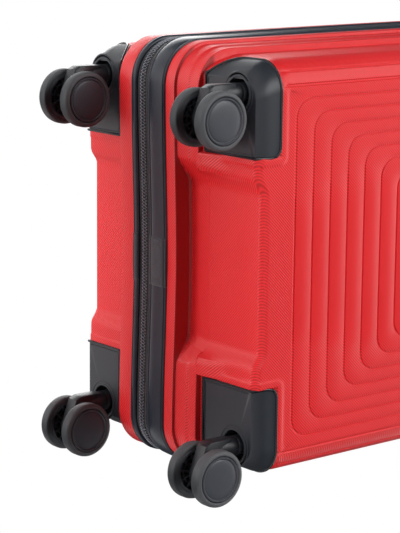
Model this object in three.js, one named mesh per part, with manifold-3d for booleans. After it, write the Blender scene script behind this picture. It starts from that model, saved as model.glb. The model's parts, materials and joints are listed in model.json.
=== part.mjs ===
// Hard-shell suitcase on four double spinner wheels, standing upright.
// Millimetres, +Z up. Front shell faces -Y, back shell with the trolley handle faces +Y, left is -X.
import * as THREE from "three";
import { mergeVertices } from "three/addons/utils/BufferGeometryUtils.js";
import Module from "manifold-3d";

const wasm = await Module();
wasm.setup();

// ---------------------------------------------------------------- driving dimensions
const GAP = 0.3; // clearance between touching pieces
const WALL = 2.4; // shell wall
const MID_Z = 372; // middle of the shell's height

const RIM = { half: 236, low: 59.5, corner: 47 }; // the rim flange, largest outline of both shells
const STRIP = { half: 232.5, low: 63, corner: 43.5 }; // first step down from the front flange
const MAIN = { half: 224, foot: 211, low: 72, taper: 32, fillet: 9 }; // main box of a shell
const SHELL_DEPTH = 150; // front and back faces stand this far from the middle
const SIDE_RADIUS = 32; // rounding of the upright edges, seen from above

const FRONT_RIM_Y = -10;
const FRONT_FLANGE_Y = -24;
const FRONT_STRIP_Y = -52;
const BACK_RIM_Y = 50;
const BACK_FLANGE_Y = 73;
const RECESS = { floor: 80, half: 84, slope: 2.5 }; // notch between the wheel lobes
const RECESS_FRONT_Y = -26;
const RECESS_BACK_Y = 75;

const HOUSING = { inner: 125, top: 103, frontY: -66, backY: 86, wall: 4 };
const CASTER = { x: 190, y: 118, socket: 17, socketWall: 3.5, roof: 95, stem: 11.5, arm: 8 };
const WHEEL = { radius: 31, inner: 13.25, outer: 27.25, trail: 24, sides: 24, bore: 3.1 };
const AXLE = { radius: 2.9, half: 23.5, boss: 8 };
const PIN = { radius: 4, low: 78, head: 7 };

const ZIP_Y = 31; // where the two halves part
const BINDING = { half: 237.5, thick: 4, frontY: 20, backY: 41 };
const TAPE = { half: 234.5, thick: 2 };

const TUBE = { x: 82, y: 129, low: 112 };
const TUBE_SIZES = [[22, 14], [18.8, 10.8], [15.6, 7.6]]; // outer, middle and inner trolley tubes
const TUBE_WALL = 1.1;
const TUB = { half: 112, low: 106, high: 146, floor: 650, wall: 2.5, lip: 3.5 };
const GRIP = { half: 104, width: 24, low: 670, high: 688 };

const HANDLE = { half: 78, width: 24, post: 12, postAt: 64, cup: 18, cupDepth: 20, low: 10.2, high: 16 };
const HANDLE_Y = 88;

const LOCK = { z: 470, half: 31, low: -51, high: -27, plate: 6.5, body: 10 };
const DIAL = { radius: 7, width: 4.4, pitch: 7.4, first: 3, sides: 20 };
const SLIDER = { length: 15, width: 13, height: 5.5, offset: 8 };
const TAB = { length: 44, width: 12, thick: 2.4 };

const LINING = 1.2;
const COVER_Y = 117;
const STRAP = { y: 57, thick: 1.5, width: 30, half: 193, at: [250, 500] };

// The wheels trail towards +X, so the bounding box is centred by moving the body towards -X.
const REACH = CASTER.x + WHEEL.trail + WHEEL.radius;
const CENTRE_SHIFT = (REACH - BINDING.half) / 2;

// ---------------------------------------------------------------- materials
const plastic = (color, roughness) => new THREE.MeshStandardMaterial({ color, roughness, metalness: 0 });
const metal = (color, roughness) => new THREE.MeshStandardMaterial({ color, roughness, metalness: 1 });
const MATERIAL = {
  shell: plastic(0xd8282d, 0.42),
  trim: plastic(0x34363a, 0.5),
  housing: plastic(0x2f3135, 0.4),
  tyre: plastic(0x3a3b3e, 0.75),
  tape: plastic(0x1c1d1f, 0.9),
  lining: plastic(0x3b3d42, 0.95),
  tube: metal(0x9a9da2, 0.32),
  steel: metal(0xb4b7bb, 0.3),
  lock: plastic(0x202124, 0.35),
};

// ---------------------------------------------------------------- solids and booleans
function solid(geometry) {
  const bare = new THREE.BufferGeometry();
  const source = geometry.index ? geometry.toNonIndexed() : geometry;
  bare.setAttribute("position", source.getAttribute("position"));
  const merged = mergeVertices(bare, 1e-3);
  return new wasm.Manifold(new wasm.Mesh({
    numProp: 3,
    vertProperties: new Float32Array(merged.attributes.position.array),
    triVerts: new Uint32Array(merged.index.array),
  }));
}

function geometryOf(manifold) {
  const mesh = manifold.getMesh();
  const geometry = new THREE.BufferGeometry();
  geometry.setAttribute("position", new THREE.BufferAttribute(new Float32Array(mesh.vertProperties), 3));
  geometry.setIndex(new THREE.BufferAttribute(new Uint32Array(mesh.triVerts), 1));
  return geometry;
}

const join = (...pieces) => pieces.reduce((all, piece) => all.add(piece));
const cut = (from, ...tools) => tools.reduce((all, tool) => all.subtract(tool), from);

// A box between two corners.
function block([x0, x1], [y0, y1], [z0, z1]) {
  const box = new THREE.BoxGeometry(x1 - x0, y1 - y0, z1 - z0);
  return solid(box.translate((x0 + x1) / 2, (y0 + y1) / 2, (z0 + z1) / 2));
}

// A cylinder along Z, standing on z0.
function post(x, y, radius, z0, z1, sides = 24) {
  const cylinder = new THREE.CylinderGeometry(radius, radius, z1 - z0, sides);
  return solid(cylinder.rotateX(Math.PI / 2).translate(x, y, (z0 + z1) / 2));
}

// ---------------------------------------------------------------- outlines
// A polygon whose corners are rounded by the same radius.
function roundedPolygon(points, radius) {
  const shape = new THREE.Shape();
  points.forEach((corner, i) => {
    const before = points[(i + points.length - 1) % points.length];
    const after = points[(i + 1) % points.length];
    const from = corner.clone().add(before.clone().sub(corner).setLength(radius));
    const to = corner.clone().add(after.clone().sub(corner).setLength(radius));
    if (i === 0) shape.moveTo(from.x, from.y);
    else shape.lineTo(from.x, from.y);
    shape.quadraticCurveTo(corner.x, corner.y, to.x, to.y);
  });
  shape.closePath();
  return shape;
}

function roundedRectangle(x0, x1, y0, y1, radius) {
  const shape = new THREE.Shape();
  shape.moveTo(x0 + radius, y0);
  shape.lineTo(x1 - radius, y0);
  shape.absarc(x1 - radius, y0 + radius, radius, -Math.PI / 2, 0);
  shape.lineTo(x1, y1 - radius);
  shape.absarc(x1 - radius, y1 - radius, radius, 0, Math.PI / 2);
  shape.lineTo(x0 + radius, y1);
  shape.absarc(x0 + radius, y1 - radius, radius, Math.PI / 2, Math.PI);
  shape.lineTo(x0, y0 + radius);
  shape.absarc(x0 + radius, y0 + radius, radius, Math.PI, Math.PI * 1.5);
  return shape;
}

// The upright outline (X across, Z up) of a rim-like ring, drawn in by inset.
function rimOutline({ half, low, corner }, inset = 0) {
  return roundedRectangle(-half + inset, half - inset, low + inset, 2 * MID_Z - low - inset, corner - inset);
}

// The main box's upright outline: flat foot and top, sides that taper in towards both ends.
function mainOutline(inset = 0) {
  const { half, foot, low, taper, fillet } = MAIN;
  const side = half - inset;
  const end = foot - inset;
  const bottom = low + inset;
  const top = 2 * MID_Z - bottom;
  const corners = [
    [-end, bottom], [end, bottom], [side, bottom + taper], [side, top - taper],
    [end, top], [-end, top], [-side, top - taper], [-side, bottom + taper],
  ];
  return roundedPolygon(corners.map(([x, z]) => new THREE.Vector2(x, z)), fillet);
}

// Extrudes an upright outline along Y, from y0 to y1.
function upright(shape, y0, y1, curveSegments = 6) {
  const slab = new THREE.ExtrudeGeometry(shape, { depth: y1 - y0, bevelEnabled: false, curveSegments });
  return solid(slab.rotateX(Math.PI / 2).translate(0, y1, 0));
}

// Extrudes an outline seen from above (X across, Y deep) along Z, from z0 to z1.
function level(shape, z0, z1, curveSegments = 6) {
  const slab = new THREE.ExtrudeGeometry(shape, { depth: z1 - z0, bevelEnabled: false, curveSegments });
  return solid(slab.translate(0, 0, z0));
}

// ---------------------------------------------------------------- shells
// Main box of one half: side is -1 for the front, 1 for the back. startY is its open end.
function mainBox(side, startY, inset = 0) {
  const face = side * (SHELL_DEPTH - inset);
  const [y0, y1] = side < 0 ? [face, startY] : [startY, face];
  const past = 60; // the plan's other rounded corners lie beyond the open end
  const [p0, p1] = side < 0 ? [face, startY + past] : [startY - past, face];
  const plan = roundedRectangle(-MAIN.half + inset, MAIN.half - inset, p0, p1, SIDE_RADIUS - inset);
  return upright(mainOutline(inset), y0, y1, 2).intersect(level(plan, 0, 2 * MID_Z, 5));
}

// The notch between the wheel lobes, open to the face of the shell.
function recessPrism(side, startY, inset = 0) {
  const { floor, half, slope } = RECESS;
  const top = floor + inset;
  const base = 50;
  const spread = (top - base) * slope;
  const shape = new THREE.Shape([
    new THREE.Vector2(-half - inset - spread, base),
    new THREE.Vector2(half + inset + spread, base),
    new THREE.Vector2(half + inset, top),
    new THREE.Vector2(-half - inset, top),
  ]);
  const start = startY - side * inset;
  const end = side * (SHELL_DEPTH + 5);
  return upright(shape, Math.min(start, end), Math.max(start, end));
}

// The corner blocks of space that the wheel housings of one half take.
function housingSpace(side, cornerSide, clearance = 0) {
  const innerY = (side < 0 ? HOUSING.frontY : HOUSING.backY) - side * clearance;
  const outerY = side * (SHELL_DEPTH + 10);
  const innerX = cornerSide * (HOUSING.inner - clearance);
  const outerX = cornerSide * (MAIN.half + 10);
  return block(
    [Math.min(innerX, outerX), Math.max(innerX, outerX)],
    [Math.min(innerY, outerY), Math.max(innerY, outerY)],
    [MAIN.low - 10, HOUSING.top + clearance],
  );
}

const openHousings = (shell, side) =>
  cut(shell, housingSpace(side, -1, GAP), housingSpace(side, 1, GAP));

function frontShell() {
  const flangeStep = FRONT_FLANGE_Y + WALL;
  const stripStep = FRONT_STRIP_Y + WALL;
  const outer = join(
    upright(rimOutline(RIM), FRONT_FLANGE_Y, FRONT_RIM_Y),
    upright(rimOutline(STRIP), FRONT_STRIP_Y, FRONT_FLANGE_Y + 1),
    mainBox(-1, FRONT_RIM_Y),
  );
  const cavity = join(
    upright(rimOutline(RIM, WALL), flangeStep, FRONT_RIM_Y + 5),
    upright(rimOutline(STRIP, WALL), stripStep, flangeStep + 1),
    mainBox(-1, FRONT_RIM_Y + 1, WALL),
  );
  const notched = cut(outer, recessPrism(-1, RECESS_FRONT_Y));
  const hollow = cut(cavity, recessPrism(-1, RECESS_FRONT_Y, WALL));
  const lockSlot = block(
    [STRIP.half - 8, STRIP.half + 8],
    [LOCK.low + 3 - GAP, LOCK.high - 3 + GAP],
    [LOCK.z - LOCK.half + 3 - GAP, LOCK.z + LOCK.half - 3 + GAP],
  );
  return openHousings(cut(notched, hollow, lockSlot), -1);
}

function backShell() {
  const flangeStep = BACK_FLANGE_Y - WALL;
  const outer = join(
    upright(rimOutline(RIM), BACK_RIM_Y, BACK_FLANGE_Y),
    mainBox(1, BACK_RIM_Y),
  );
  const cavity = join(
    upright(rimOutline(RIM, WALL), BACK_RIM_Y - 5, flangeStep),
    mainBox(1, BACK_RIM_Y - 1, WALL),
  );
  const notched = cut(outer, recessPrism(1, RECESS_BACK_Y));
  const hollow = cut(cavity, recessPrism(1, RECESS_BACK_Y, WALL));
  const tubSlot = block(
    [-TUB.half - GAP, TUB.half + GAP],
    [TUB.low - GAP, TUB.high + GAP],
    [TUB.floor - 10, 2 * MID_Z],
  );
  const cupSlots = [-1, 1].map((end) => handleCup(end, GAP, 10));
  const open = cut(
    cut(notched, hollow, tubSlot),
    ...cupSlots.map(onTop),
    ...cupSlots.map(onSide),
  );
  return openHousings(open, 1);
}

// ---------------------------------------------------------------- wheel housings and casters
// A corner cap with the round socket that the caster's stem turns in.
function wheelHousing(side, cornerSide) {
  const startY = side < 0 ? FRONT_RIM_Y : BACK_RIM_Y;
  const space = housingSpace(side, cornerSide);
  const cap = cut(mainBox(side, startY), mainBox(side, startY, HOUSING.wall)).intersect(space);
  const x = cornerSide * CASTER.x;
  const y = side * CASTER.y;
  const roofTop = CASTER.roof + HOUSING.wall;
  const tower = post(x, y, CASTER.socket + CASTER.socketWall, MAIN.low, roofTop)
    .intersect(mainBox(side, startY));
  const bore = post(x, y, CASTER.socket, MAIN.low - 1, CASTER.roof);
  const pinHole = post(x, y, PIN.radius + 0.2, CASTER.roof - 1, roofTop + 1, 16);
  return cut(join(cap, tower), bore, pinHole);
}

function swivelPin(x, y) {
  const roofTop = CASTER.roof + HOUSING.wall;
  return join(
    post(x, y, PIN.radius, PIN.low, roofTop + GAP + 1, 16),
    post(x, y, PIN.head, roofTop + GAP, roofTop + GAP + 2.4, 16),
  );
}

// The fork: a round stem in the socket and a flat arm that drops back to the axle.
function casterFork(x, y) {
  const axle = new THREE.Vector2(WHEEL.trail, WHEEL.radius);
  const eye = 16;
  const heel = { z: 33, bevel: 4 };
  const arm = new THREE.Shape();
  arm.moveTo(-CASTER.stem, 70);
  arm.lineTo(-CASTER.stem, heel.z);
  arm.lineTo(-CASTER.stem + heel.bevel, heel.z - 2 * heel.bevel);
  arm.absarc(axle.x, axle.y, eye, -2.1, 0.8);
  arm.lineTo(CASTER.stem, 62);
  arm.lineTo(CASTER.stem, 70);
  arm.closePath();
  const blade = upright(arm, -CASTER.arm, CASTER.arm, 8);
  const bossLength = 2 * (WHEEL.inner - 0.8);
  const boss = solid(new THREE.CylinderGeometry(AXLE.boss, AXLE.boss, bossLength, 24)
    .translate(axle.x, 0, axle.y));
  const stem = post(0, 0, CASTER.stem, 62, CASTER.roof - 2);
  const axleBore = solid(new THREE.CylinderGeometry(WHEEL.bore, WHEEL.bore, 60, 12)
    .translate(axle.x, 0, axle.y));
  const pinBore = post(0, 0, PIN.radius + 0.2, PIN.low - 1, CASTER.roof, 16);
  return cut(join(blade, boss, stem), axleBore, pinBore).translate([x, y, 0]);
}

function casterAxle(x, y) {
  const rod = new THREE.CylinderGeometry(AXLE.radius, AXLE.radius, 2 * AXLE.half, 12);
  return solid(rod.translate(x + WHEEL.trail, y, WHEEL.radius));
}

// One wheel of a pair, turned about Y. face is -1 for the wheel nearer -Y.
function casterWheel(x, y, face) {
  const { inner, outer, bore, sides } = WHEEL;
  const radius = WHEEL.radius / Math.cos(Math.PI / sides); // flats of the polygon stand on the floor
  const profile = [
    [0, AXLE.half + GAP], [bore, AXLE.half + GAP], [bore, inner], [8, inner],
    [9, inner + 6], [23, inner + 6],
    [25, inner + 0.5], [28.5, inner + 0.5], [radius, inner + 3], [radius, outer - 3.5],
    [28.5, outer - 0.5], [0, outer],
  ].map(([r, h]) => new THREE.Vector2(r, h));
  const wheel = new THREE.LatheGeometry(profile, sides, Math.PI / sides);
  if (face < 0) wheel.rotateX(Math.PI);
  const placed = wheel.translate(x + WHEEL.trail, y, WHEEL.radius);
  return solid(placed);
}

// ---------------------------------------------------------------- zip band
function band(ring, y0, y1) {
  const proud = ring.half - RIM.half;
  const shape = rimOutline(RIM, -proud);
  shape.holes.push(rimOutline(RIM, ring.thick - proud));
  return upright(shape, y0, y1);
}

// The woven hinge that joins both halves on the left side, behind the tapes.
function hingeTape() {
  const depth = TAPE.half - TAPE.thick - GAP;
  return block([-depth, -depth + 1.2], [ZIP_Y - 24, ZIP_Y + 24], [MID_Z - 210, MID_Z + 210]);
}

function zipSlider(z) {
  const surface = TAPE.half + GAP;
  const body = block(
    [surface, surface + SLIDER.height * 0.6],
    [ZIP_Y - SLIDER.width / 2, ZIP_Y + SLIDER.width / 2],
    [z - SLIDER.length / 2, z + SLIDER.length / 2],
  );
  const bridge = block([surface, surface + SLIDER.height], [ZIP_Y - 5, ZIP_Y + 5], [z - 1.6, z + 1.6]);
  const eye = block([surface + 3.4, surface + 4.4], [ZIP_Y - 3.5, ZIP_Y + 3.5], [z - 3, z + 3]);
  return cut(join(body, bridge), eye);
}

// The pull lies from its slider towards the lock.
function zipPull(z) {
  const x0 = TAPE.half + SLIDER.height + 0.8;
  const y1 = ZIP_Y + 1;
  const shape = roundedRectangle(y1 - TAB.length, y1, z - TAB.width / 2, z + TAB.width / 2, 4);
  const plate = new THREE.ExtrudeGeometry(shape, { depth: TAB.thick, bevelEnabled: false, curveSegments: 3 });
  // Turns the plate's own (across, up, thick) to (Y, Z, X).
  const turn = new THREE.Matrix4().makeBasis(
    new THREE.Vector3(0, 1, 0), new THREE.Vector3(0, 0, 1), new THREE.Vector3(1, 0, 0));
  return solid(plate.applyMatrix4(turn).translate(x0, 0, 0));
}

// ---------------------------------------------------------------- trolley handle
function tube(x, [width, depth], z0, z1) {
  const outline = (inset) => roundedRectangle(
    x - width / 2 + inset, x + width / 2 - inset,
    TUBE.y - depth / 2 + inset, TUBE.y + depth / 2 - inset, 3.2 - inset);
  const shape = outline(0);
  shape.holes.push(outline(TUBE_WALL));
  return level(shape, z0, z1, 3);
}

function tubePlug(x, [width, depth], z0, z1) {
  return block([x - width / 2, x + width / 2], [TUBE.y - depth / 2, TUBE.y + depth / 2], [z0, z1]);
}

// The moulded tub in the top of the back shell that the grip sinks into.
function trolleyTub() {
  const { half, low, high, floor, wall, lip } = TUB;
  const top = 2 * MID_Z - MAIN.low;
  const outer = level(roundedRectangle(-half, half, low, high, 8), floor, top + 0.5, 3);
  const rim = level(roundedRectangle(-half - 4, half + 4, low - 4, high + 1, 9), top + GAP, top + lip, 3);
  const inside = level(roundedRectangle(-half + wall, half - wall, low + wall, high - wall, 6),
    floor + wall, top + 20, 3);
  const [width, depth] = TUBE_SIZES[1];
  const holes = [-1, 1].map((end) => tubePlug(end * TUBE.x, [width + 1, depth + 1], floor - 1, floor + 10));
  return cut(join(outer, rim), inside, ...holes);
}

function trolleyFoot() {
  const [width, depth] = TUBE_SIZES[0];
  const bar = block([-TUBE.x - 16, TUBE.x + 16], [TUBE.y - 9.5, TUBE.y + 9.5], [TUBE.low - 14, TUBE.low + 14]);
  const sockets = [-1, 1].map((end) =>
    tubePlug(end * TUBE.x, [width + 0.8, depth + 0.8], TUBE.low - GAP, TUBE.low + 20));
  return cut(bar, ...sockets);
}

function trolleyGrip() {
  const { half, width, low, high } = GRIP;
  const bar = level(roundedRectangle(-half, half, TUBE.y - width / 2, TUBE.y + width / 2, 9), low, high, 4);
  const [tubeWidth, tubeDepth] = TUBE_SIZES[2];
  const sockets = [-1, 1].map((end) =>
    tubePlug(end * TUBE.x, [tubeWidth + 0.8, tubeDepth + 0.8], low - 1, low + 8));
  const buttonWell = block([-15 - GAP, 15 + GAP], [TUBE.y - 5 - GAP, TUBE.y + 5 + GAP], [high - 8, high + 1]);
  return cut(bar, ...sockets, buttonWell);
}

function trolleyButton() {
  return level(roundedRectangle(-15, 15, TUBE.y - 5, TUBE.y + 5, 3), GRIP.high - 3, GRIP.high + 1.5, 3);
}

// ---------------------------------------------------------------- carry handles
// Built lying along X with +Z out of the shell, the surface at z = 0, then placed on the top or the side.
function handleCup(end, clearance = 0, above = 0) {
  const r = HANDLE.cup / 2 + clearance;
  const x = end * HANDLE.postAt;
  return block([x - r, x + r], [-r, r], [-HANDLE.cupDepth - clearance, above]);
}

function handleBase() {
  const { half, width, post: size, postAt, cupDepth } = HANDLE;
  const plate = level(roundedRectangle(-half, half, -width / 2, width / 2, 9), GAP, 3.3, 3);
  const cups = [-1, 1].map((end) => handleCup(end, 0, 1));
  const wells = [-1, 1].map((end) => {
    const r = size / 2 + 0.5;
    return block([end * postAt - r, end * postAt + r], [-r, r], [-cupDepth + 1.5, 10]);
  });
  return cut(join(plate, ...cups), ...wells);
}

function handleGrip() {
  const { half, width, post: size, postAt, cupDepth, low, high } = HANDLE;
  const bar = level(roundedRectangle(-half + 2, half - 2, -width / 2 + 2, width / 2 - 2, 8), low, high, 4);
  const posts = [-1, 1].map((end) => block(
    [end * postAt - size / 2, end * postAt + size / 2], [-size / 2, size / 2], [-cupDepth + 2, low + 1]));
  return join(bar, ...posts);
}

const onTop = (piece) => piece.translate([0, HANDLE_Y, 2 * MID_Z - MAIN.low]);
// A turn about +Y takes the handle's outward +Z to +X and its length to Z.
const onSide = (piece) => piece.rotate([0, 90, 0]).translate([MAIN.half, HANDLE_Y + 4, MID_Z]);

// ---------------------------------------------------------------- lock
function lockHousing() {
  const x0 = STRIP.half + GAP;
  const x1 = STRIP.half + LOCK.plate;
  const zs = [LOCK.z - LOCK.half, LOCK.z + LOCK.half];
  const plate = block([x0, x1], [LOCK.low, LOCK.high], zs);
  const body = block([STRIP.half - LOCK.body, x0 + 1], [LOCK.low + 3, LOCK.high - 3], [zs[0] + 3, zs[1] - 3]);
  const dialSlots = [0, 1, 2].map((i) => {
    const z = dialZ(i);
    const half = DIAL.width / 2 + GAP;
    return block([STRIP.half - LOCK.body + 2, x1 + 1], [dialY - DIAL.radius - 0.6, dialY + DIAL.radius + 0.6],
      [z - half, z + half]);
  });
  const buttonWell = block([x1 - 4.5, x1 + 1], [dialY - 5.3, dialY + 5.3], [LOCK.z - 13.3, LOCK.z - 2.7]);
  const keyWell = keyCylinder(4.8, x1 - 6, x1 + 1);
  return cut(join(plate, body), ...dialSlots, buttonWell, keyWell);
}

const dialY = (LOCK.low + LOCK.high) / 2;
const dialZ = (i) => LOCK.z + DIAL.first + (i + 0.5) * DIAL.pitch;

function lockDial(i) {
  return post(STRIP.half + LOCK.plate - DIAL.radius + 1.6, dialY, DIAL.radius,
    dialZ(i) - DIAL.width / 2, dialZ(i) + DIAL.width / 2, DIAL.sides);
}

function lockButton() {
  const x1 = STRIP.half + LOCK.plate;
  return block([x1 - 1.6, x1 + 1.4], [dialY - 5, dialY + 5], [LOCK.z - 13, LOCK.z - 3]);
}

function keyCylinder(radius, x0, x1) {
  const cylinder = new THREE.CylinderGeometry(radius, radius, x1 - x0, 16);
  return solid(cylinder.rotateZ(Math.PI / 2).translate((x0 + x1) / 2, dialY, LOCK.z - 21));
}

function keyCore() {
  const x1 = STRIP.half + LOCK.plate;
  const slot = block([x1 - 2, x1 + 1], [dialY - 0.6, dialY + 0.6], [LOCK.z - 24, LOCK.z - 18]);
  return cut(keyCylinder(4.5, x1 - 5.6, x1 + 0.4), slot);
}

// ---------------------------------------------------------------- interior
// The front lining is a tray whose lower corners step over the wheel sockets.
function frontLining() {
  const outline = (inset) => roundedPolygon([
    [-160, 86], [160, 86], [160, 106], [204, 106], [204, 664], [-204, 664], [-204, 106], [-160, 106],
  ].map(([x, z]) => new THREE.Vector2(
    x - Math.sign(x) * inset, z + (z < MID_Z ? inset : -inset))), 7);
  const floorY = -SHELL_DEPTH + WALL + 5;
  return cut(upright(outline(0), floorY, FRONT_RIM_Y - 1, 2),
    upright(outline(LINING), floorY + LINING, FRONT_RIM_Y, 2));
}

function backLining() {
  const outline = (inset) => roundedRectangle(-200 + inset, 195 - inset, 106 + inset, 648 - inset, 14);
  return cut(upright(outline(0), BACK_RIM_Y + 2, COVER_Y - GAP, 3),
    upright(outline(LINING), BACK_RIM_Y + 1, COVER_Y, 3));
}

function coverPanel() {
  return block([-198, 193], [COVER_Y, COVER_Y + 2], [108, 646]);
}

function packingStrap(z) {
  return block([-STRAP.half, STRAP.half - 1], [STRAP.y, STRAP.y + STRAP.thick],
    [z - STRAP.width / 2, z + STRAP.width / 2]);
}

// ---------------------------------------------------------------- assembly
const suitcase = new THREE.Group();
suitcase.position.x = -CENTRE_SHIFT;

function place(parent, name, manifold, material) {
  const mesh = new THREE.Mesh(geometryOf(manifold), material);
  mesh.name = name;
  parent.add(mesh);
}

const backHalf = new THREE.Group();
const frontHalf = new THREE.Group();
suitcase.add(backHalf, frontHalf);

place(backHalf, "back_shell", backShell(), MATERIAL.shell);
place(backHalf, "back_rim_binding", band(BINDING, BINDING.backY, BACK_RIM_Y - GAP), MATERIAL.trim);
place(backHalf, "back_zip_tape", band(TAPE, ZIP_Y + GAP / 2, BINDING.backY - GAP), MATERIAL.tape);
place(backHalf, "hinge_tape", hingeTape(), MATERIAL.tape);
place(backHalf, "back_lining", backLining(), MATERIAL.lining);
place(backHalf, "trolley_cover_panel", coverPanel(), MATERIAL.lining);
place(backHalf, "lower_packing_strap", packingStrap(STRAP.at[0]), MATERIAL.tape);
place(backHalf, "upper_packing_strap", packingStrap(STRAP.at[1]), MATERIAL.tape);

place(frontHalf, "front_shell", frontShell(), MATERIAL.shell);
place(frontHalf, "front_rim_binding", band(BINDING, FRONT_RIM_Y + GAP, BINDING.frontY), MATERIAL.trim);
place(frontHalf, "front_zip_tape", band(TAPE, BINDING.frontY + GAP, ZIP_Y - GAP / 2), MATERIAL.tape);
place(frontHalf, "front_lining", frontLining(), MATERIAL.lining);

for (const [half, side, halfName] of [[frontHalf, -1, "front"], [backHalf, 1, "back"]]) {
  for (const [cornerSide, sideName] of [[-1, "left"], [1, "right"]]) {
    const corner = halfName + "_" + sideName;
    const x = cornerSide * CASTER.x;
    const y = side * CASTER.y;
    place(half, "wheel_housing_" + corner, wheelHousing(side, cornerSide), MATERIAL.housing);
    place(half, "swivel_pin_" + corner, swivelPin(x, y), MATERIAL.steel);
    place(half, "caster_fork_" + corner, casterFork(x, y), MATERIAL.housing);
    place(half, "caster_axle_" + corner, casterAxle(x, y), MATERIAL.steel);
    place(half, "wheel_" + corner + "_a", casterWheel(x, y, -1), MATERIAL.tyre);
    place(half, "wheel_" + corner + "_b", casterWheel(x, y, 1), MATERIAL.tyre);
  }
}

const tubTop = TUB.floor - GAP;
for (const [end, sideName] of [[-1, "left"], [1, "right"]]) {
  const x = end * TUBE.x;
  place(backHalf, "outer_tube_" + sideName, tube(x, TUBE_SIZES[0], TUBE.low, tubTop), MATERIAL.tube);
  place(backHalf, "middle_tube_" + sideName, tube(x, TUBE_SIZES[1], TUBE.low + 60, TUB.floor + 4), MATERIAL.tube);
  place(backHalf, "inner_tube_" + sideName, tube(x, TUBE_SIZES[2], TUBE.low + 90, GRIP.low + 7), MATERIAL.tube);
}
place(backHalf, "trolley_tub", trolleyTub(), MATERIAL.housing);
place(backHalf, "trolley_foot", trolleyFoot(), MATERIAL.housing);
place(backHalf, "trolley_grip", trolleyGrip(), MATERIAL.housing);
place(backHalf, "trolley_button", trolleyButton(), MATERIAL.trim);

place(backHalf, "top_handle_base", onTop(handleBase()), MATERIAL.housing);
place(backHalf, "top_handle_grip", onTop(handleGrip()), MATERIAL.trim);
place(backHalf, "side_handle_base", onSide(handleBase()), MATERIAL.housing);
place(backHalf, "side_handle_grip", onSide(handleGrip()), MATERIAL.trim);

place(frontHalf, "lock_housing", lockHousing(), MATERIAL.lock);
place(frontHalf, "lock_button", lockButton(), MATERIAL.trim);
place(frontHalf, "lock_key_core", keyCore(), MATERIAL.steel);
for (const i of [0, 1, 2]) place(frontHalf, "lock_dial_" + (i + 1), lockDial(i), MATERIAL.steel);

for (const [name, z] of [["lower", LOCK.z - SLIDER.offset], ["upper", LOCK.z + SLIDER.offset]]) {
  place(backHalf, name + "_zip_slider", zipSlider(z), MATERIAL.steel);
  place(backHalf, name + "_zip_pull", zipPull(z), MATERIAL.lock);
}

export default suitcase;
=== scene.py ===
"""Hard-shell suitcase on four double spinner wheels: its surfaces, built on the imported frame."""

import json
import math

import bmesh
import bpy
from mathutils import Matrix, Vector

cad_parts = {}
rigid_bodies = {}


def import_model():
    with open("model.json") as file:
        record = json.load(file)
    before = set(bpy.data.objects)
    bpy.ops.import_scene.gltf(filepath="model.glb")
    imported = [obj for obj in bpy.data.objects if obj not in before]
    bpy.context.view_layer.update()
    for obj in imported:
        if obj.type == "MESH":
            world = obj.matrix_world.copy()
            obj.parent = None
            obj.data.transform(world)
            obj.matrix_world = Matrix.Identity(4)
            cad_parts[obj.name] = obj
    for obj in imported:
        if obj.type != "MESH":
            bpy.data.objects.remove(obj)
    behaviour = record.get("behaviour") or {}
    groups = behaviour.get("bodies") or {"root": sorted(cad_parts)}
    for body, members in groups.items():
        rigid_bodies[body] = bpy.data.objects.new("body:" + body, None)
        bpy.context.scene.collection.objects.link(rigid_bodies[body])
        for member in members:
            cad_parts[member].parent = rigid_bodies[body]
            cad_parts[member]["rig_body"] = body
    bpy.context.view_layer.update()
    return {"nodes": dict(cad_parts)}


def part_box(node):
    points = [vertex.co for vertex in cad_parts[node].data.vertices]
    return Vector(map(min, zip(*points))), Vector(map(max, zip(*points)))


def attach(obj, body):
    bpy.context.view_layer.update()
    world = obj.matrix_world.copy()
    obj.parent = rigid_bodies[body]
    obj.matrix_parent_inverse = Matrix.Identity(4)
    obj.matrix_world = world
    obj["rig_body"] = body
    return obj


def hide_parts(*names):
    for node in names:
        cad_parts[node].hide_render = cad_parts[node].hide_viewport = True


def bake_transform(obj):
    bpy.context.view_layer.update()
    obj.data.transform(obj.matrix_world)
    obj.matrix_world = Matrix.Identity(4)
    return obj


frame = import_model()

bl_info = {
    "name": "Hard Shell Suitcase",
    "version": (1, 0, 0),
    "blender": (4, 5, 0),
    "location": "3D View > Sidebar > Suitcase",
    "description": "Builds the shells, wheels, zip band, handles and lining of a hard-shell suitcase",
    "category": "Object",
}

# Millimetres from here on. X is measured from the middle of the shells, Z from the ground.
MM = 0.001
SHELL_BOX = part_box("front_shell")
CENTRE_X = (SHELL_BOX[0].x + SHELL_BOX[1].x) / 2
MID_Z = 372
FACE_Y = 150
CORNERS = [
    (half + "_" + side, -1 if half == "front" else 1, -1 if side == "left" else 1)
    for half in ("front", "back")
    for side in ("left", "right")
]
CASTER_X = 190
CASTER_Y = 118
HANDLE_Y = 88
PAIR_SHIFT = 6.25
WHEEL_TRAIL = 24
WHEEL_Z = 31
ZIP_Y = 31


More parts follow.
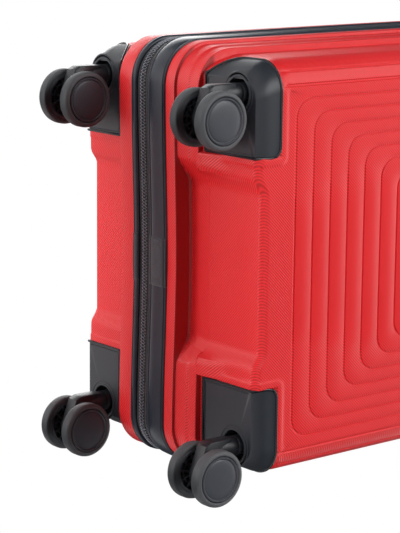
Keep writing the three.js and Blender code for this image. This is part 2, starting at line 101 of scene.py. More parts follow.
# ------------------------------------------------------------------ settings
class SuitcaseColours(bpy.types.PropertyGroup):
    """Colours of the suitcase's finishes."""

    def tint(name, description, value):
        return bpy.props.FloatVectorProperty(
            name=name, description=description, default=value, size=3, subtype="COLOR", min=0, max=1
        )

    shell: tint("Shell", "Moulded shell", (0.8, 0.024, 0.028))
    binding: tint("Binding", "Satin binding along both rims", (0.013, 0.019, 0.029))
    tape: tint("Zip tape", "Woven tape and teeth of the zip", (0.012, 0.013, 0.015))
    housing: tint("Wheel housing", "Corner caps over the casters", (0.0165, 0.0205, 0.0265))
    fork: tint("Caster fork", "Fork between each pair of wheels", (0.016, 0.018, 0.022))
    tyre: tint("Tyre", "Soft tread of the wheels", (0.078, 0.082, 0.088))
    hub: tint("Hub", "Cap in the middle of each wheel", (0.05, 0.055, 0.065))
    lining: tint("Lining", "Woven lining cloth", (0.055, 0.058, 0.066))
    alloy: tint("Alloy", "Trolley tubes and zip metal", (0.5, 0.51, 0.53))


class SuitcaseSizes(bpy.types.PropertyGroup):
    """Sizes of the moulded and sewn detail."""

    def length(name, description, value):
        return bpy.props.FloatProperty(
            name=name, description=description, default=value * MM, unit="LENGTH", min=0, precision=4
        )

    groove_width: length("Groove width", "Width of the nested grooves in the faces", 3.8)
    groove_depth: length("Groove depth", "Depth of the nested grooves", 1.3)
    twill_pitch: length("Twill pitch", "Distance between the strokes of the moulded twill", 3.3)
    shell_wall: length("Shell wall", "Thickness of the shells", 2.3)
    tooth_pitch: length("Tooth pitch", "Distance between two teeth of the zip", 3.6)
    housing_proud: length("Housing step", "How far the wheel housings stand above the shell", 0.8)
    groove_count: bpy.props.IntProperty(
        name="Grooves", description="Number of nested grooves on each face", default=10, min=1, max=10
    )
    rib_count: bpy.props.IntProperty(
        name="Wheel ribs", description="Ribs on the inner side of each wheel", default=11, min=3, max=24
    )


def colour(name):
    """A colour of the finish settings with full opacity."""
    return (*getattr(bpy.context.scene.suitcase_colours, name), 1)


def size(name):
    """A size of the detail settings, in millimetres."""
    return getattr(bpy.context.scene.suitcase_sizes, name) / MM


# ------------------------------------------------------------------ shader nodes
class Wire:
    """A node's output. Arithmetic on it adds Math nodes."""

    def __init__(self, finish, socket):
        self.finish = finish
        self.socket = socket

    def __add__(self, other):
        return self.finish.math("ADD", self, other)

    def __sub__(self, other):
        return self.finish.math("SUBTRACT", self, other)

    def __rsub__(self, other):
        return self.finish.math("SUBTRACT", other, self)

    def __mul__(self, other):
        return self.finish.math("MULTIPLY", self, other)

    __radd__ = __add__
    __rmul__ = __mul__

    def sine(self):
        return self.finish.math("SINE", self)

    def size(self):
        return self.finish.math("ABSOLUTE", self)

    def clamped(self):
        return self.finish.node("ShaderNodeMath", {"operation": "ADD", "use_clamp": True}, {0: self, 1: 0.0})


class Finish:
    """A material under construction."""

    def __init__(self, name):
        self.material = bpy.data.materials.new(name)
        self.material.use_nodes = True
        self.tree = self.material.node_tree
        self.tree.nodes.clear()

    def node(self, kind, settings=None, inputs=None, output=0):
        """Adds a node: its settings first, then the values or wires of its sockets."""
        node = self.tree.nodes.new(kind)
        for name, value in (settings or {}).items():
            if name == "stops":
                for element, (position, tone) in zip(node.color_ramp.elements, value):
                    element.position = position
                    element.color = (tone, tone, tone, 1)
            else:
                setattr(node, name, value)
        for name, value in (inputs or {}).items():
            if isinstance(value, Wire):
                self.tree.links.new(value.socket, node.inputs[name])
            else:
                node.inputs[name].default_value = value
        return Wire(self, node.outputs[output]) if node.outputs else None

    def math(self, operation, *values):
        return self.node("ShaderNodeMath", {"operation": operation}, dict(enumerate(values)))

    def place(self):
        """The piece's own coordinates, in metres."""
        return self.node("ShaderNodeTexCoord", output=3)

    def axes(self):
        """X, Y and Z of the piece's own coordinates, in millimetres."""
        scaled = self.node("ShaderNodeVectorMath", {"operation": "SCALE"}, {0: self.place(), "Scale": 1 / MM})
        split = self.node("ShaderNodeSeparateXYZ", inputs={0: scaled})
        outputs = split.socket.node.outputs
        return [Wire(self, outputs[i]) for i in range(3)]

    def noise(self, scale, detail=3, roughness=0.55):
        """Noise from 0 to 1. Scale is in cells per metre."""
        values = {"Vector": self.place(), "Scale": scale, "Detail": detail, "Roughness": roughness}
        return self.node("ShaderNodeTexNoise", inputs=values)

    def ramp(self, factor, low, high):
        return self.node("ShaderNodeValToRGB", {"stops": [(low, 0), (high, 1)]}, {0: factor})

    def blend(self, factor, first, second):
        values = {0: factor, 6: first, 7: second}
        return self.node("ShaderNodeMix", {"data_type": "RGBA"}, values, output=2)

    def bump(self, height, distance, strength=1.0):
        values = {"Height": height, "Distance": distance * MM, "Strength": strength}
        return self.node("ShaderNodeBump", inputs=values)

    def surface(self, **sockets):
        """Ends the material in a Principled shader with these sockets."""
        named = {name.replace("_", " "): value for name, value in sockets.items()}
        shader = self.node("ShaderNodeBsdfPrincipled", inputs=named)
        self.node("ShaderNodeOutputMaterial", inputs={0: shader})
        return self.material


def tone(base, factor):
    """A colour made lighter or darker."""
    return (*(min(1, channel * factor) for channel in base[:3]), 1)


def shell_finish(name="shell_red_twill"):
    """Moulded polycarbonate with a fine diagonal twill, and painted shade on the steep step walls near both ends."""
    finish = Finish(name)
    x, y, z = finish.axes()
    strokes = ((x - y - z) * (2 * math.pi / size("twill_pitch"))).sine()
    breaks = ((x + y + z) * (2 * math.pi / (3.3 * size("twill_pitch")))).sine()
    clouds = finish.noise(14, 4)
    grain = finish.noise(2600, 2)
    # The middle of each face is moulded smooth; the twill fades in towards the edges.
    from_end = MID_Z - (z - MID_Z).size()
    across = ((x.size() - 22 - from_end * 0.2) * 0.03).clamped()
    near_end = ((128 - from_end) * 0.08).clamped()
    twilled = (across + near_end).clamped()
    height = strokes * twilled * 0.8 + strokes * breaks * twilled * 0.2 + grain * 0.1
    red = colour("shell")
    mottled = finish.blend(clouds, tone(red, 0.95), tone(red, 1.05))
    shaded = twilled * strokes * -0.42 + 0.43
    twill = finish.blend(shaded, mottled, tone(red, 0.56))
    # Painted shade: the steep walls of the steps at both ends are darkened to a deeper red, standing in for the shade
    # that falls in these recesses.
    normal = finish.node("ShaderNodeTexCoord", output=1)
    facing = finish.node("ShaderNodeSeparateXYZ", inputs={0: normal}, output=1) * -1
    stepped = ((facing - 0.35) * 3).clamped() * ((y + 70) * 0.2).clamped()
    near_foot = ((88 - from_end) * 0.2).clamped()
    # The painted shade colour of those walls.
    deep = (red[0] * 0.3, red[1] * 0.1, red[2] * 0.1, 1)
    body = finish.blend(stepped * near_foot * 0.85, twill, deep)
    return finish.surface(
        Base_Color=body,
        Roughness=clouds * 0.1 + grain * 0.06 + 0.3,
        Normal=finish.bump(height, 0.1, 1.0),
        Specular_IOR_Level=0.3,
    )


def moulded_finish(name, base, roughness, grain_size=0.5, depth=0.04):
    """Textured plastic with faint clouding and handling marks."""
    finish = Finish(name)
    clouds = finish.noise(30, 4)
    grain = finish.noise(1000 / grain_size, 2)
    marks = finish.ramp(finish.noise(120, 5, 0.7), 0.58, 0.75)
    body = finish.blend(clouds, tone(base, 0.86), tone(base, 1.12))
    worn = finish.blend(marks * 0.18, body, tone(base, 1.7))
    return finish.surface(
        Base_Color=worn,
        Roughness=clouds * 0.12 + grain * 0.08 + (roughness - 0.1),
        Normal=finish.bump(grain, depth, 0.8),
        Specular_IOR_Level=0.4,
    )


def woven_finish(name, base, pitch, roughness=0.85, depth=0.12):
    """Plain weave, the same on every side of the piece."""
    finish = Finish(name)
    step = math.pi / pitch
    x, y, z = [(axis * step).sine() for axis in finish.axes()]
    weave = (x * y).size() + (y * z).size() + (z * x).size()
    clouds = finish.noise(40, 4)
    fuzz = finish.noise(1500, 3)
    threads = finish.blend(weave * 0.7, tone(base, 0.55), tone(base, 1.3))
    body = finish.blend(clouds * 0.5, threads, tone(base, 0.9))
    return finish.surface(
        Base_Color=body,
        Roughness=fuzz * 0.1 + roughness - 0.05,
        Normal=finish.bump(weave + fuzz * 0.3, depth, 0.7),
        Sheen_Weight=0.25,
        Sheen_Roughness=0.5,
    )


def brushed_finish(name, base, roughness, along=2):
    """Metal with fine brushing along one axis: 0 is X, 1 is Y and 2 is Z."""
    finish = Finish(name)
    stretch = [900.0, 900.0, 900.0]
    stretch[along] = 12.0
    lines = finish.node(
        "ShaderNodeVectorMath", {"operation": "MULTIPLY"}, {0: finish.place(), 1: stretch}
    )
    hair = finish.node("ShaderNodeTexNoise", inputs={"Vector": lines, "Scale": 1.0, "Detail": 3.0})
    clouds = finish.noise(25, 3)
    body = finish.blend(hair, tone(base, 0.86), tone(base, 1.08))
    return finish.surface(
        Base_Color=body,
        Metallic=1.0,
        Roughness=hair * 0.14 + clouds * 0.08 + (roughness - 0.1),
        Normal=finish.bump(hair, 0.02, 0.5),
    )


FINISHES = {
    "shell": lambda: shell_finish(),
    "shell_inside": lambda: moulded_finish("shell_inside_red", tone(colour("shell"), 0.7), 0.6),
    "binding": lambda: moulded_finish("rim_binding_satin", colour("binding"), 0.3, 1.2, 0.05),
    "piping": lambda: moulded_finish("rim_piping", tone(colour("binding"), 1.6), 0.34, 0.8, 0.03),
    # Painted shade: the tape is taken darker than its own colour, standing in for the shade in the narrow gaps beside
    # the coil.
    "tape": lambda: woven_finish("zip_tape_weave", tone(colour("tape"), 0.6), 0.8),
    # Painted highlight: the teeth share the tape's colour, made far lighter here to stand in for the bright glints
    # along the coil.
    "teeth": lambda: moulded_finish("zip_teeth_nylon", tone(colour("tape"), 17), 0.22, 0.6, 0.02),
    "sleeve": lambda: woven_finish("joining_sleeve_weave", tone(colour("binding"), 0.85), 0.6, 0.7, 0.08),
    "housing": lambda: moulded_finish("wheel_housing_plastic", colour("housing"), 0.42, 0.5, 0.03),
    "bead": lambda: moulded_finish("wheel_housing_bead", tone(colour("housing"), 0.5), 0.16, 0.5, 0.01),
    "fork": lambda: moulded_finish("caster_fork_nylon", colour("fork"), 0.42, 0.45, 0.03),
    "tyre": lambda: moulded_finish("tyre_rubber", colour("tyre"), 0.6, 0.4, 0.05),
    "hub": lambda: moulded_finish("hub_satin", colour("hub"), 0.4, 0.35, 0.02),
    "rib": lambda: moulded_finish("wheel_inner_web", tone(colour("tape"), 3.5), 0.35, 0.5, 0.03),
    "steel": lambda: brushed_finish("steel_pin", colour("alloy"), 0.34, 1),
    "tube": lambda: brushed_finish("trolley_tube_alloy", colour("alloy"), 0.32, 2),
    "grip": lambda: moulded_finish("handle_grip_rubber", tone(colour("binding"), 0.8), 0.5, 0.7, 0.06),
    "lock": lambda: moulded_finish("lock_plastic", tone(colour("housing"), 0.7), 0.3, 0.5, 0.02),
    "lock_metal": lambda: brushed_finish("lock_satin_metal", colour("alloy"), 0.28, 0),
    "zip_metal": lambda: brushed_finish("zip_gunmetal", tone(colour("alloy"), 0.35), 0.34, 2),
    "lining": lambda: woven_finish("lining_cloth", colour("lining"), 0.9, 0.8),
    "seam": lambda: woven_finish("lining_seam_binding", tone(colour("lining"), 0.5), 0.7, 0.8),
    "webbing": lambda: woven_finish("strap_webbing", tone(colour("tape"), 1.5), 1.1, 0.75, 0.2),
}


MADE = {}


def finish_of(name):
    """The material of a finish, made when it is first asked for."""
    if name not in MADE:
        MADE[name] = FINISHES[name]()
    return MADE[name]


# ------------------------------------------------------------------ mesh making
def smoothstep(low, high, value):
    t = min(1, max(0, (value - low) / (high - low)))
    return t * t * (3 - 2 * t)


def soft_max(a, b, softness):
    """The larger of two heights, with the bend between them rounded."""
    return (a + b + math.sqrt((a - b) ** 2 + softness**2)) / 2


def shade(obj, angle):
    """Smooth shading, broken at edges sharper than angle, in degrees."""
    obj.data.shade_smooth()
    obj.data.set_sharp_from_angle(angle=math.radians(angle))


def solid(name, points, faces, finish, angle=35):
    """A mesh object from points in millimetres, with its normals facing out."""
    mesh = bpy.data.meshes.new(name)
    mesh.from_pydata([(x * MM + CENTRE_X, y * MM, z * MM) for x, y, z in points], [], faces)
    form = bmesh.new()
    form.from_mesh(mesh)
    bmesh.ops.recalc_face_normals(form, faces=form.faces)
    form.to_mesh(mesh)
    form.free()
    obj = bpy.data.objects.new(name, mesh)
    bpy.context.scene.collection.objects.link(obj)
    mesh.materials.append(finish_of(finish))
    shade(obj, angle)
    return obj


def loft(rings, closed=True, around=True, caps=False, first=0):
    """Quads between rings of equal length. closed joins each ring's ends, around the last ring to the first."""
    count = len(rings[0])
    points = [point for ring in rings for point in ring]
    spans = len(rings) if around else len(rings) - 1
    steps = count if closed else count - 1
    faces = []
    for i in range(spans):
        low = first + i * count
        high = first + (i + 1) % len(rings) * count
        for j in range(steps):
            k = (j + 1) % count
            faces.append((low + j, low + k, high + k, high + j))
    if caps:
        faces.append(tuple(range(first + count - 1, first - 1, -1)))
        last = first + (len(rings) - 1) * count
        faces.append(tuple(range(last, last + count)))
    return points, faces


def gather(parts):
    """Joins several (points, faces) lists into one."""
    points, faces = [], []
    for part_points, part_faces in parts:
        start = len(points)
        points.extend(part_points)
        faces.extend(tuple(i + start for i in face) for face in part_faces)
    return points, faces


def lathe(profile, count=64, closed=True):
    """Rings of (radius, height) round the Z axis, as (points, faces)."""
    turns = [2 * math.pi * i / count for i in range(count)]
    rings = [[(r * math.cos(a), r * math.sin(a), h) for a in turns] for r, h in profile]
    return loft(rings, around=closed)


def put(part, turn=None, move=(0, 0, 0)):
    """Turns and moves a (points, faces) part."""
    points, faces = part
    matrix = turn or Matrix.Identity(3)
    return [tuple(matrix @ Vector(p) + Vector(move)) for p in points], faces


def bar_along(path, radius, sides=8, closed=False, flat=1.0, up=(0, 0, 1)):
    """A bar of round or flattened section along a path of points, as (points, faces)."""
    rings = []
    count = len(path)
    for i, point in enumerate(path):
        before = path[i - 1] if closed or i else path[0]
        after = path[(i + 1) % count] if closed or i < count - 1 else path[-1]
        along = (Vector(after) - Vector(before)).normalized()
        side = along.cross(Vector(up))
        side = side.normalized() if side.length > 1e-4 else along.orthogonal().normalized()
        out = side.cross(along)
        ring = []
        for k in range(sides):
            a = 2 * math.pi * (k + 0.5) / sides
            offset = side * (math.cos(a) * radius) + out * (math.sin(a) * radius * flat)
            ring.append(tuple(Vector(point) + offset))
        rings.append(ring)
    return loft(rings, around=closed, caps=not closed)


def box_part(low, high, edge=0.0):
    """A block with chamfered edges, as (points, faces)."""
    form = bmesh.new()
    bmesh.ops.create_cube(form, size=1)
    for vert in form.verts:
        for axis in range(3):
            vert.co[axis] = high[axis] if vert.co[axis] > 0 else low[axis]
    if edge:
        bmesh.ops.bevel(form, geom=form.edges[:], offset=edge, segments=2, profile=0.5, affect="EDGES")
    form.verts.index_update()
    part = [tuple(v.co) for v in form.verts], [tuple(v.index for v in f.verts) for f in form.faces]
    form.free()
    return part


def refined(node, finish, edge=0.6, name=None, angle=40):
    """The shape of a frame node with its edges rounded, standing in for that node."""
    source = frame["nodes"][node]
    form = bmesh.new()
    form.from_mesh(source.data)
    bmesh.ops.remove_doubles(form, verts=form.verts, dist=1e-6)
    bmesh.ops.dissolve_limit(form, angle_limit=0.01, verts=form.verts, edges=form.edges)
    sharp = [e for e in form.edges if len(e.link_faces) == 2 and e.calc_face_angle(0) > math.radians(50)]
    bmesh.ops.bevel(
        form, geom=sharp, offset=edge * MM, segments=2, profile=0.6, affect="EDGES", clamp_overlap=True
    )
    bmesh.ops.recalc_face_normals(form, faces=form.faces)
    mesh = bpy.data.meshes.new(name or node + "_shaped")
    form.to_mesh(mesh)
    form.free()
    obj = bpy.data.objects.new(name or node + "_shaped", mesh)
    bpy.context.scene.collection.objects.link(obj)
    mesh.materials.append(finish_of(finish))
    shade(obj, angle)
    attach(obj, source["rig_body"])
    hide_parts(node)
    return obj


def settle(obj, body, slot, *nodes):
    """The piece rides on its body and stands for these nodes. The slot argument is not used."""
    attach(obj, body)
    if nodes:
        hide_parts(*nodes)
    return obj


def refinish(node, finish):
    """A frame node that is shown as it is gets one of the finishes."""
    obj = frame["nodes"][node]
    obj.data.materials.clear()
    obj.data.materials.append(finish_of(finish))


# ------------------------------------------------------------------ outlines of the shells
RIM = [(189, 59.5), (215, 59.5), (236, 80.5), (236, 106.5)]
MAIN = [(198, 72), (214, 72), (219, 88), (224, 116)]
RIM_BOW = 4  # the long foot of the rim curves in by this much at its middle
# Shares of the half foot that the outlines have points at, closest where the housings end.
FOOT_SHARES = (
    [0.58 * i / 28 for i in range(28)] + [0.58 + 0.14 * i / 24 for i in range(24)]
    + [0.72 + 0.28 * i / 14 for i in range(14)]
)
CORNER_STEPS = 20
SIDE_STEPS = 32


def bezier(controls, t):
    a, b, c, d = [Vector(p) for p in controls]
    s = 1 - t
    point = a * s**3 + b * (3 * s * s * t) + c * (3 * s * t * t) + d * t**3
    slope = (b - a) * (3 * s * s) + (c - b) * (6 * s * t) + (d - c) * (3 * t * t)
    return point, Vector((slope.y, -slope.x)).normalized()


def outline(controls, bow=0):
    """Points (x, z, nx, nz) once round a rim: right foot, right side, left side, left foot."""
    start, end = controls[0], controls[3]
    quarter = []
    for share in FOOT_SHARES:
        rise = bow * math.cos(math.pi / 2 * share) ** 2
        quarter.append((start[0] * share, start[1] + rise, 0, -1))
    for i in range(CORNER_STEPS):
        point, normal = bezier(controls, i / CORNER_STEPS)
        quarter.append((point.x, point.y, normal.x, normal.y))
    for i in range(SIDE_STEPS + 1):
        quarter.append((end[0], end[1] + (MID_Z - end[1]) * i / SIDE_STEPS, 1, 0))
    upper = [(x, 2 * MID_Z - z, nx, -nz) for x, z, nx, nz in reversed(quarter[:-1])]
    right = quarter + upper
    left = [(-x, z, -nx, nz) for x, z, nx, nz in reversed(right[1:-1])]
    return right + left


def rounded_frame(half, low, radius):
    """Points (x, z) round a rectangle with round corners, in step with outline()."""
    quarter = [((half - radius) * share, low) for share in FOOT_SHARES]
    for i in range(CORNER_STEPS):
        a = math.pi / 2 * i / CORNER_STEPS
        quarter.append((half - radius + radius * math.sin(a), low + radius - radius * math.cos(a)))
    for i in range(SIDE_STEPS + 1):
        quarter.append((half, low + radius + (MID_Z - low - radius) * i / SIDE_STEPS))
    upper = [(x, 2 * MID_Z - z) for x, z in reversed(quarter[:-1])]
    right = quarter + upper
    return right + [(-x, z) for x, z in reversed(right[1:-1])]


# Between the wheel lobes the foot of each shell steps up to a flat notch.
NOTCH = {"height": 80.5, "half": 88, "slope": 1.4, "fades": 125}


def notched(x, z, foot, share):
    """Height of a point of the lower end once the notch is pressed into it."""
    if share <= 0 or z > NOTCH["fades"]:
        return z
    ramp = NOTCH["height"] - max(0, abs(x) - NOTCH["half"]) / NOTCH["slope"]
    lift = soft_max(foot, ramp, 1.4) - soft_max(foot, -500, 1.4)
    fade = 1 - smoothstep(foot + 10, NOTCH["fades"], z)
    return z + lift * fade * share


# ------------------------------------------------------------------ shells
SIDE_ROUND = 32
FOOT_ROUND = 9
OUTER_GROOVE = {"half": 183.3, "low": 125, "corner": 21, "step_x": 14.67, "step_z": 25.1}
EDGE_GROOVES = (198, 212.7)
# Each nested line is a deep groove up to this far from the middle, and a shallower one beyond it.
DEEP_REACH = (78, 82, 90, 98, 104, 100, 88, 74, 60, 45)
# How far along the groove's half width, and how deep there, as shares of its depth.
GROOVE_SECTION = [(-1, 0), (-0.72, 0.12), (-0.45, 0.9), (0, 1), (0.45, 0.9), (0.72, 0.12), (1, 0)]


COARSE_FACE = 40 * MM * MM  # the shell's inner side is this coarse, and is cut back under the caps


def edge_groove(x, z):
    """Depth of the straight grooves that run up both long edges of a face."""
    half = size("groove_width") / 2
    gate = smoothstep(104, 109, z) * (1 - smoothstep(2 * MID_Z - 109, 2 * MID_Z - 104, z))
    depth = 0
    for at in EDGE_GROOVES:
        away = abs(abs(x) - at) / half
        if away < 1:
            depth = size("groove_depth") * smoothstep(0, 0.55, 1 - away)
    return depth * gate


def pad_height(x, z, y):
    """The soft raised band that the shell carries round each wheel housing."""
    short_x = 125 - abs(x)
    over_z = z - 102.5
    short_y = (66 if y < 0 else 86) - abs(y)
    if z > 180 or abs(x) < 105 or short_y > 12:
        return 0
    if abs(x) > 200:
        over_z = z - cap_height(abs(x), abs(y), 66 if y < 0 else 86)
    reach = math.hypot(max(0, short_x), max(0, over_z), max(0, short_y))
    if reach == 0:
        reach = max(short_x, over_z, short_y)
    sunk = 1 - smoothstep(-1.2, 2.4, reach)
    return 1.1 * (1 - smoothstep(8, 10.5, reach)) - 2.7 * sunk


def lobe_swell(x, z, y):
    """How far the front foot swells out between the notch and a wheel housing, up to the rim's step."""
    if not 58 < abs(y) < 112 or z > 74:
        return 0
    across = smoothstep(98, 105, abs(x)) * (1 - smoothstep(121.5, 123.5, abs(x)))
    level = 64.6 + 7.4 * smoothstep(58, 108, abs(y))
    return max(0, z - level) * across


class Shell:
    """One moulded half. side is -1 for the front and 1 for the back."""

    def __init__(self, side):
        self.side = side
        self.rim = outline(RIM, RIM_BOW)
        self.main = outline(MAIN)

    def ring(self, y, share, inset=0, notch=0, foot=72):
        """A ring between the rim outline (share 0) and the main outline (share 1), moved in by inset."""
        points = []
        for (ax, az, anx, anz), (bx, bz, bnx, bnz) in zip(self.rim, self.main):
            x = ax + (bx - ax) * share - (anx + (bnx - anx) * share) * inset
            z = az + (bz - az) * share - (anz + (bnz - anz) * share) * inset
            points.append((x, self.side * y, notched(x, z, foot, notch)))
        return points

    def rounding(self, angle, inset=0):
        """A ring on the rounded edge of the face: 0 is the upright wall and 90 degrees the face."""
        points = []
        for x, z, nx, nz in self.main:
            radius = SIDE_ROUND * nx * nx + FOOT_ROUND * nz * nz
            run = radius * (1 - math.cos(angle))
            out = math.cos(angle)
            groove = 0 if inset else edge_groove(x - nx * run, z - nz * run)
            depth = radius * (1 - math.sin(angle)) + inset * math.sin(angle) + groove * math.sin(angle)
            move = run + inset * out + groove * out
            px, pz = x - nx * move, z - nz * move
            points.append((px, self.side * (FACE_Y - depth), notched(px, pz, 72, 1)))
        return points

    def face_ring(self, target, share, depth=0, start=None):
        """A ring on the flat face, between its edge and a target frame of points."""
        edge = start or self.rounding(math.pi / 2)
        points = []
        for (x0, _, z0), (x1, z1) in zip(edge, target):
            x = x0 + (x1 - x0) * share
            z = z0 + (z1 - z0) * share
            points.append((x, self.side * (FACE_Y - depth), z))
        return points

    def line_ring(self, k, target, section):
        """A ring of nested line k, which is deepest in the middle of its foot."""
        foot = OUTER_GROOVE["low"] + OUTER_GROOVE["step_z"] * k
        points = []
        for x, z in target:
            from_end = min(z, 2 * MID_Z - z)
            deep = 1 - smoothstep(DEEP_REACH[k] - 1, DEEP_REACH[k] + 1.5, abs(x))
            deep *= 1 - smoothstep(foot + 4, foot + 8, from_end)
            share = 0.8 + deep * 0.4
            points.append((x, self.side * (FACE_Y - section * share * size("groove_depth")), z))
        return points

    def walls(self):
        """Rings from the open end to the start of the face's rounding."""
        front = self.side < 0
        if front:
            rows = [
                (10, 0, 1.0, 0), (10.3, 0, 0.2, 0), (11, 0, 0, 0), (16, 0, 0, 0), (23.8, 0, 0, 0),
                (24.8, 0, 0.3, 0), (25.4, 0, 1.1, 0), (25.6, 0, 2.2, 0.05), (25.9, 0, 3.1, 0.3),
                (26.8, 0, 3.5, 0.8), (28.6, 0, 3.5, 0.95), (32, 0, 3.5, 1), (38, 0, 3.5, 1),
                (43, 0, 3.5, 1), (44.4, 0, 3.6, 1), (45.8, 0.03, 4.0, 1), (47.4, 0.1, 3.6, 1),
                (52, 0.12, 3.4, 1), (57, 0.13, 3.4, 1), (59, 0.14, 3.4, 1), (59.8, 0.2, 3.2, 1),
                (60.2, 0.45, 2.3, 1), (60.6, 0.85, 0.8, 1), (61.2, 0.97, 0.2, 1), (62.2, 1, 0, 1),
                (63.4, 1, 0, 1), (64.8, 1, 0, 1), (65.8, 1, 0, 1),
                (67.4, 1, 0, 1), (69.5, 1, 0, 1),
            ]
        else:
            rows = [
                (50, 0, 1.0, 0), (50.3, 0, 0.2, 0), (51, 0, 0, 0), (60, 0, 0, 0), (71.4, 0, 0, 0),
                (72.5, 0, 0.3, 0), (73.1, 0, 1.1, 0), (73.4, 0.05, 2.0, 0.05), (73.8, 0.2, 2.4, 0.3),
                (75, 0.34, 2.2, 0.8), (77, 0.42, 2.0, 0.95), (79, 0.55, 1.5, 1), (81.6, 0.82, 0.6, 1),
                (84, 0.97, 0.1, 1), (85, 1, 0, 1), (86, 1, 0, 1), (87.4, 1, 0, 1), (89.5, 1, 0, 1),
            ]
        rings = []
        for y, share, inset, notch in rows:
            foot = 59.5 + 12.5 * share + inset
            rings.append(self.ring(y, share, inset, notch, foot))
        last = rows[-1][0]
        end = FACE_Y - SIDE_ROUND
        rings += [self.ring(last + (end - last) * i / 6, 1, 0, 1) for i in range(1, 7)]
        # The foot's rounding is smaller than the sides', so its upright part runs on further.
        return rings

    def outer_rings(self):
        rings = self.walls()
        half = size("groove_width") / 2
        cuts = {math.acos(1 - (224 - at + half * s) / SIDE_ROUND) for at in EDGE_GROOVES for s, _ in GROOVE_SECTION}
        plain = {math.radians(a) for a in (3, 8, 14, 20, 26, 32, 38, 60, 66, 72, 85, 90)}
        angles = sorted(cuts | plain)
        rings += [self.rounding(a) for a in angles]
        groove = OUTER_GROOVE
        first = rounded_frame(groove["half"] + half, groove["low"] - half, groove["corner"] + half)
        rings += [self.face_ring(first, i / 22) for i in range(1, 22)]
        for k in range(int(bpy.context.scene.suitcase_sizes.groove_count)):
            for along, depth in GROOVE_SECTION:
                shift = along * half
                target = rounded_frame(
                    groove["half"] - groove["step_x"] * k - shift,
                    groove["low"] + groove["step_z"] * k + shift,
                    max(2, groove["corner"] - shift),
                )
                rings.append(self.line_ring(k, target, depth))
        inner = rings[-1]
        for share in (0.35, 0.7, 0.999):
            rings.append([(x * (1 - share), y, MID_Z + (z - MID_Z) * (1 - share)) for x, y, z in inner])
        return rings

    def inner_rings(self):
        wall = size("shell_wall")
        start = 10 if self.side < 0 else 50
        step = 24 if self.side < 0 else 73
        settle_at = 63 if self.side < 0 else 86
        rows = [(start, 0, wall), (step - wall, 0, wall), (step + 2, 0, wall + 4), (settle_at, 1, wall)]
        rings = [self.ring(y, s, i, 0 if y < step else 1, 72 + wall if s else 63 + wall) for y, s, i in rows]
        rings += [self.rounding(math.radians(a), wall) for a in (0, 30, 60, 90)]
        target = rounded_frame(120, 300, 20)
        edge = self.rounding(math.pi / 2, wall)
        rings += [self.face_ring(target, share, wall, edge) for share in (0.5, 1)]
        rings.append([(x * 0.001, y, MID_Z + (z - MID_Z) * 0.001) for x, y, z in rings[-1]])
        return rings

    def build(self, name, openings):
        rings = list(reversed(self.inner_rings())) + self.outer_rings()
        points, faces = loft(rings, around=False)
        obj = solid(name, self.padded_out(points), faces, "shell", 28)
        self.open_up(obj, openings)
        return obj

    def padded_out(self, points):
        """Raises the soft band round the wheel housings on the foot and the face."""
        raised = []
        for x, y, z in points:
            if self.side < 0:
                z -= lobe_swell(x, z, y)
            pad = pad_height(x, z, y)
            if pad and z > 71.5 and abs(y) > 60:
                on_face = smoothstep(FACE_Y - 9, FACE_Y - 1, abs(y))
                on_side = smoothstep(74, 90, z) * (1 - on_face)
                y += self.side * pad * on_face
                z -= pad * (1 - on_face) * (1 - on_side)
                if pad < 0:
                    x += math.copysign(pad * on_side, x)
            raised.append((x, y, z))
        return raised

    def open_up(self, obj, openings):
        """Removes the faces that other pieces pass through. An opening is a low and a high corner."""
        form = bmesh.new()
        form.from_mesh(obj.data)
        doomed = set()
        for low, high in openings:
            for vert in form.verts:
                x, y, z = (vert.co.x - CENTRE_X) / MM, vert.co.y / MM, vert.co.z / MM
                inside = all(a <= v <= b for a, v, b in zip(low, (x, y, z), high))
                if inside:
                    doomed.update(vert.link_faces)
        inner_y = HOUSING["front"] if self.side < 0 else HOUSING["back"]
        for face in form.faces:
            middle = face.calc_center_median()
            x, y, z = abs(middle.x - CENTRE_X) / MM, abs(middle.y) / MM, middle.z / MM
            depth = min(x - HOUSING["inner"], y - inner_y, cap_height(x, y, inner_y) - z)
            if depth > 2.5 or (depth > 0 and face.calc_area() > COARSE_FACE):
                doomed.add(face)
        bmesh.ops.delete(form, geom=list(doomed), context="FACES")
        form.to_mesh(obj.data)
        form.free()


def lowest(node):
    """Low and high corner of a frame node in millimetres, X from the middle of the shells."""
    low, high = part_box(node)
    shift = Vector((CENTRE_X, 0, 0))
    return (low - shift) / MM, (high - shift) / MM


class SUITCASE_OT_shells(bpy.types.Operator):
    """Mould both red shells with their rims, wheel lobes, notch and nested grooves"""

    bl_idname = "suitcase.shells"
    bl_label = "Shells"

    def execute(self, context):
        lock_slot = ((220, -48, 442), (240, -30, 498))
        front = Shell(-1).build("front_shell_moulded", [lock_slot])
        settle(front, "lid", "shell", "front_shell")
        tub = ((-112, 106, 655), (112, 146, 690))
        cups = [((x - 8, HANDLE_Y - 8, 660), (x + 8, HANDLE_Y + 8, 690)) for x in (-64, 64)]
        side_cups = [((210, 84, z - 8), (240, 100, z + 8)) for z in (MID_Z - 64, MID_Z + 64)]
        back = Shell(1).build("back_shell_moulded", [tub] + cups + side_cups)
        settle(back, "back_half", "shell", "back_shell")
        return {"FINISHED"}



# ------------------------------------------------------------------ wheel housings
HOUSING = {"inner": 125, "front": 66, "back": 86, "foot": 72, "top": 102.5, "corner": 31, "inner_top": 12}
SOCKET = 17


def cap_height(x, y, inner_y):
    """Upper edge of a housing's walls: rounded at its inner end, and climbing along its side."""
    radius = HOUSING["inner_top"]
    short = min(radius, max(0, radius - (x - HOUSING["inner"])))
    height = HOUSING["top"] - radius + math.sqrt(radius**2 - short**2)
    along = min(1, max(0, (y - inner_y) / 34))
    return HOUSING["foot"] + (height - HOUSING["foot"]) * math.sin(math.pi / 2 * along)


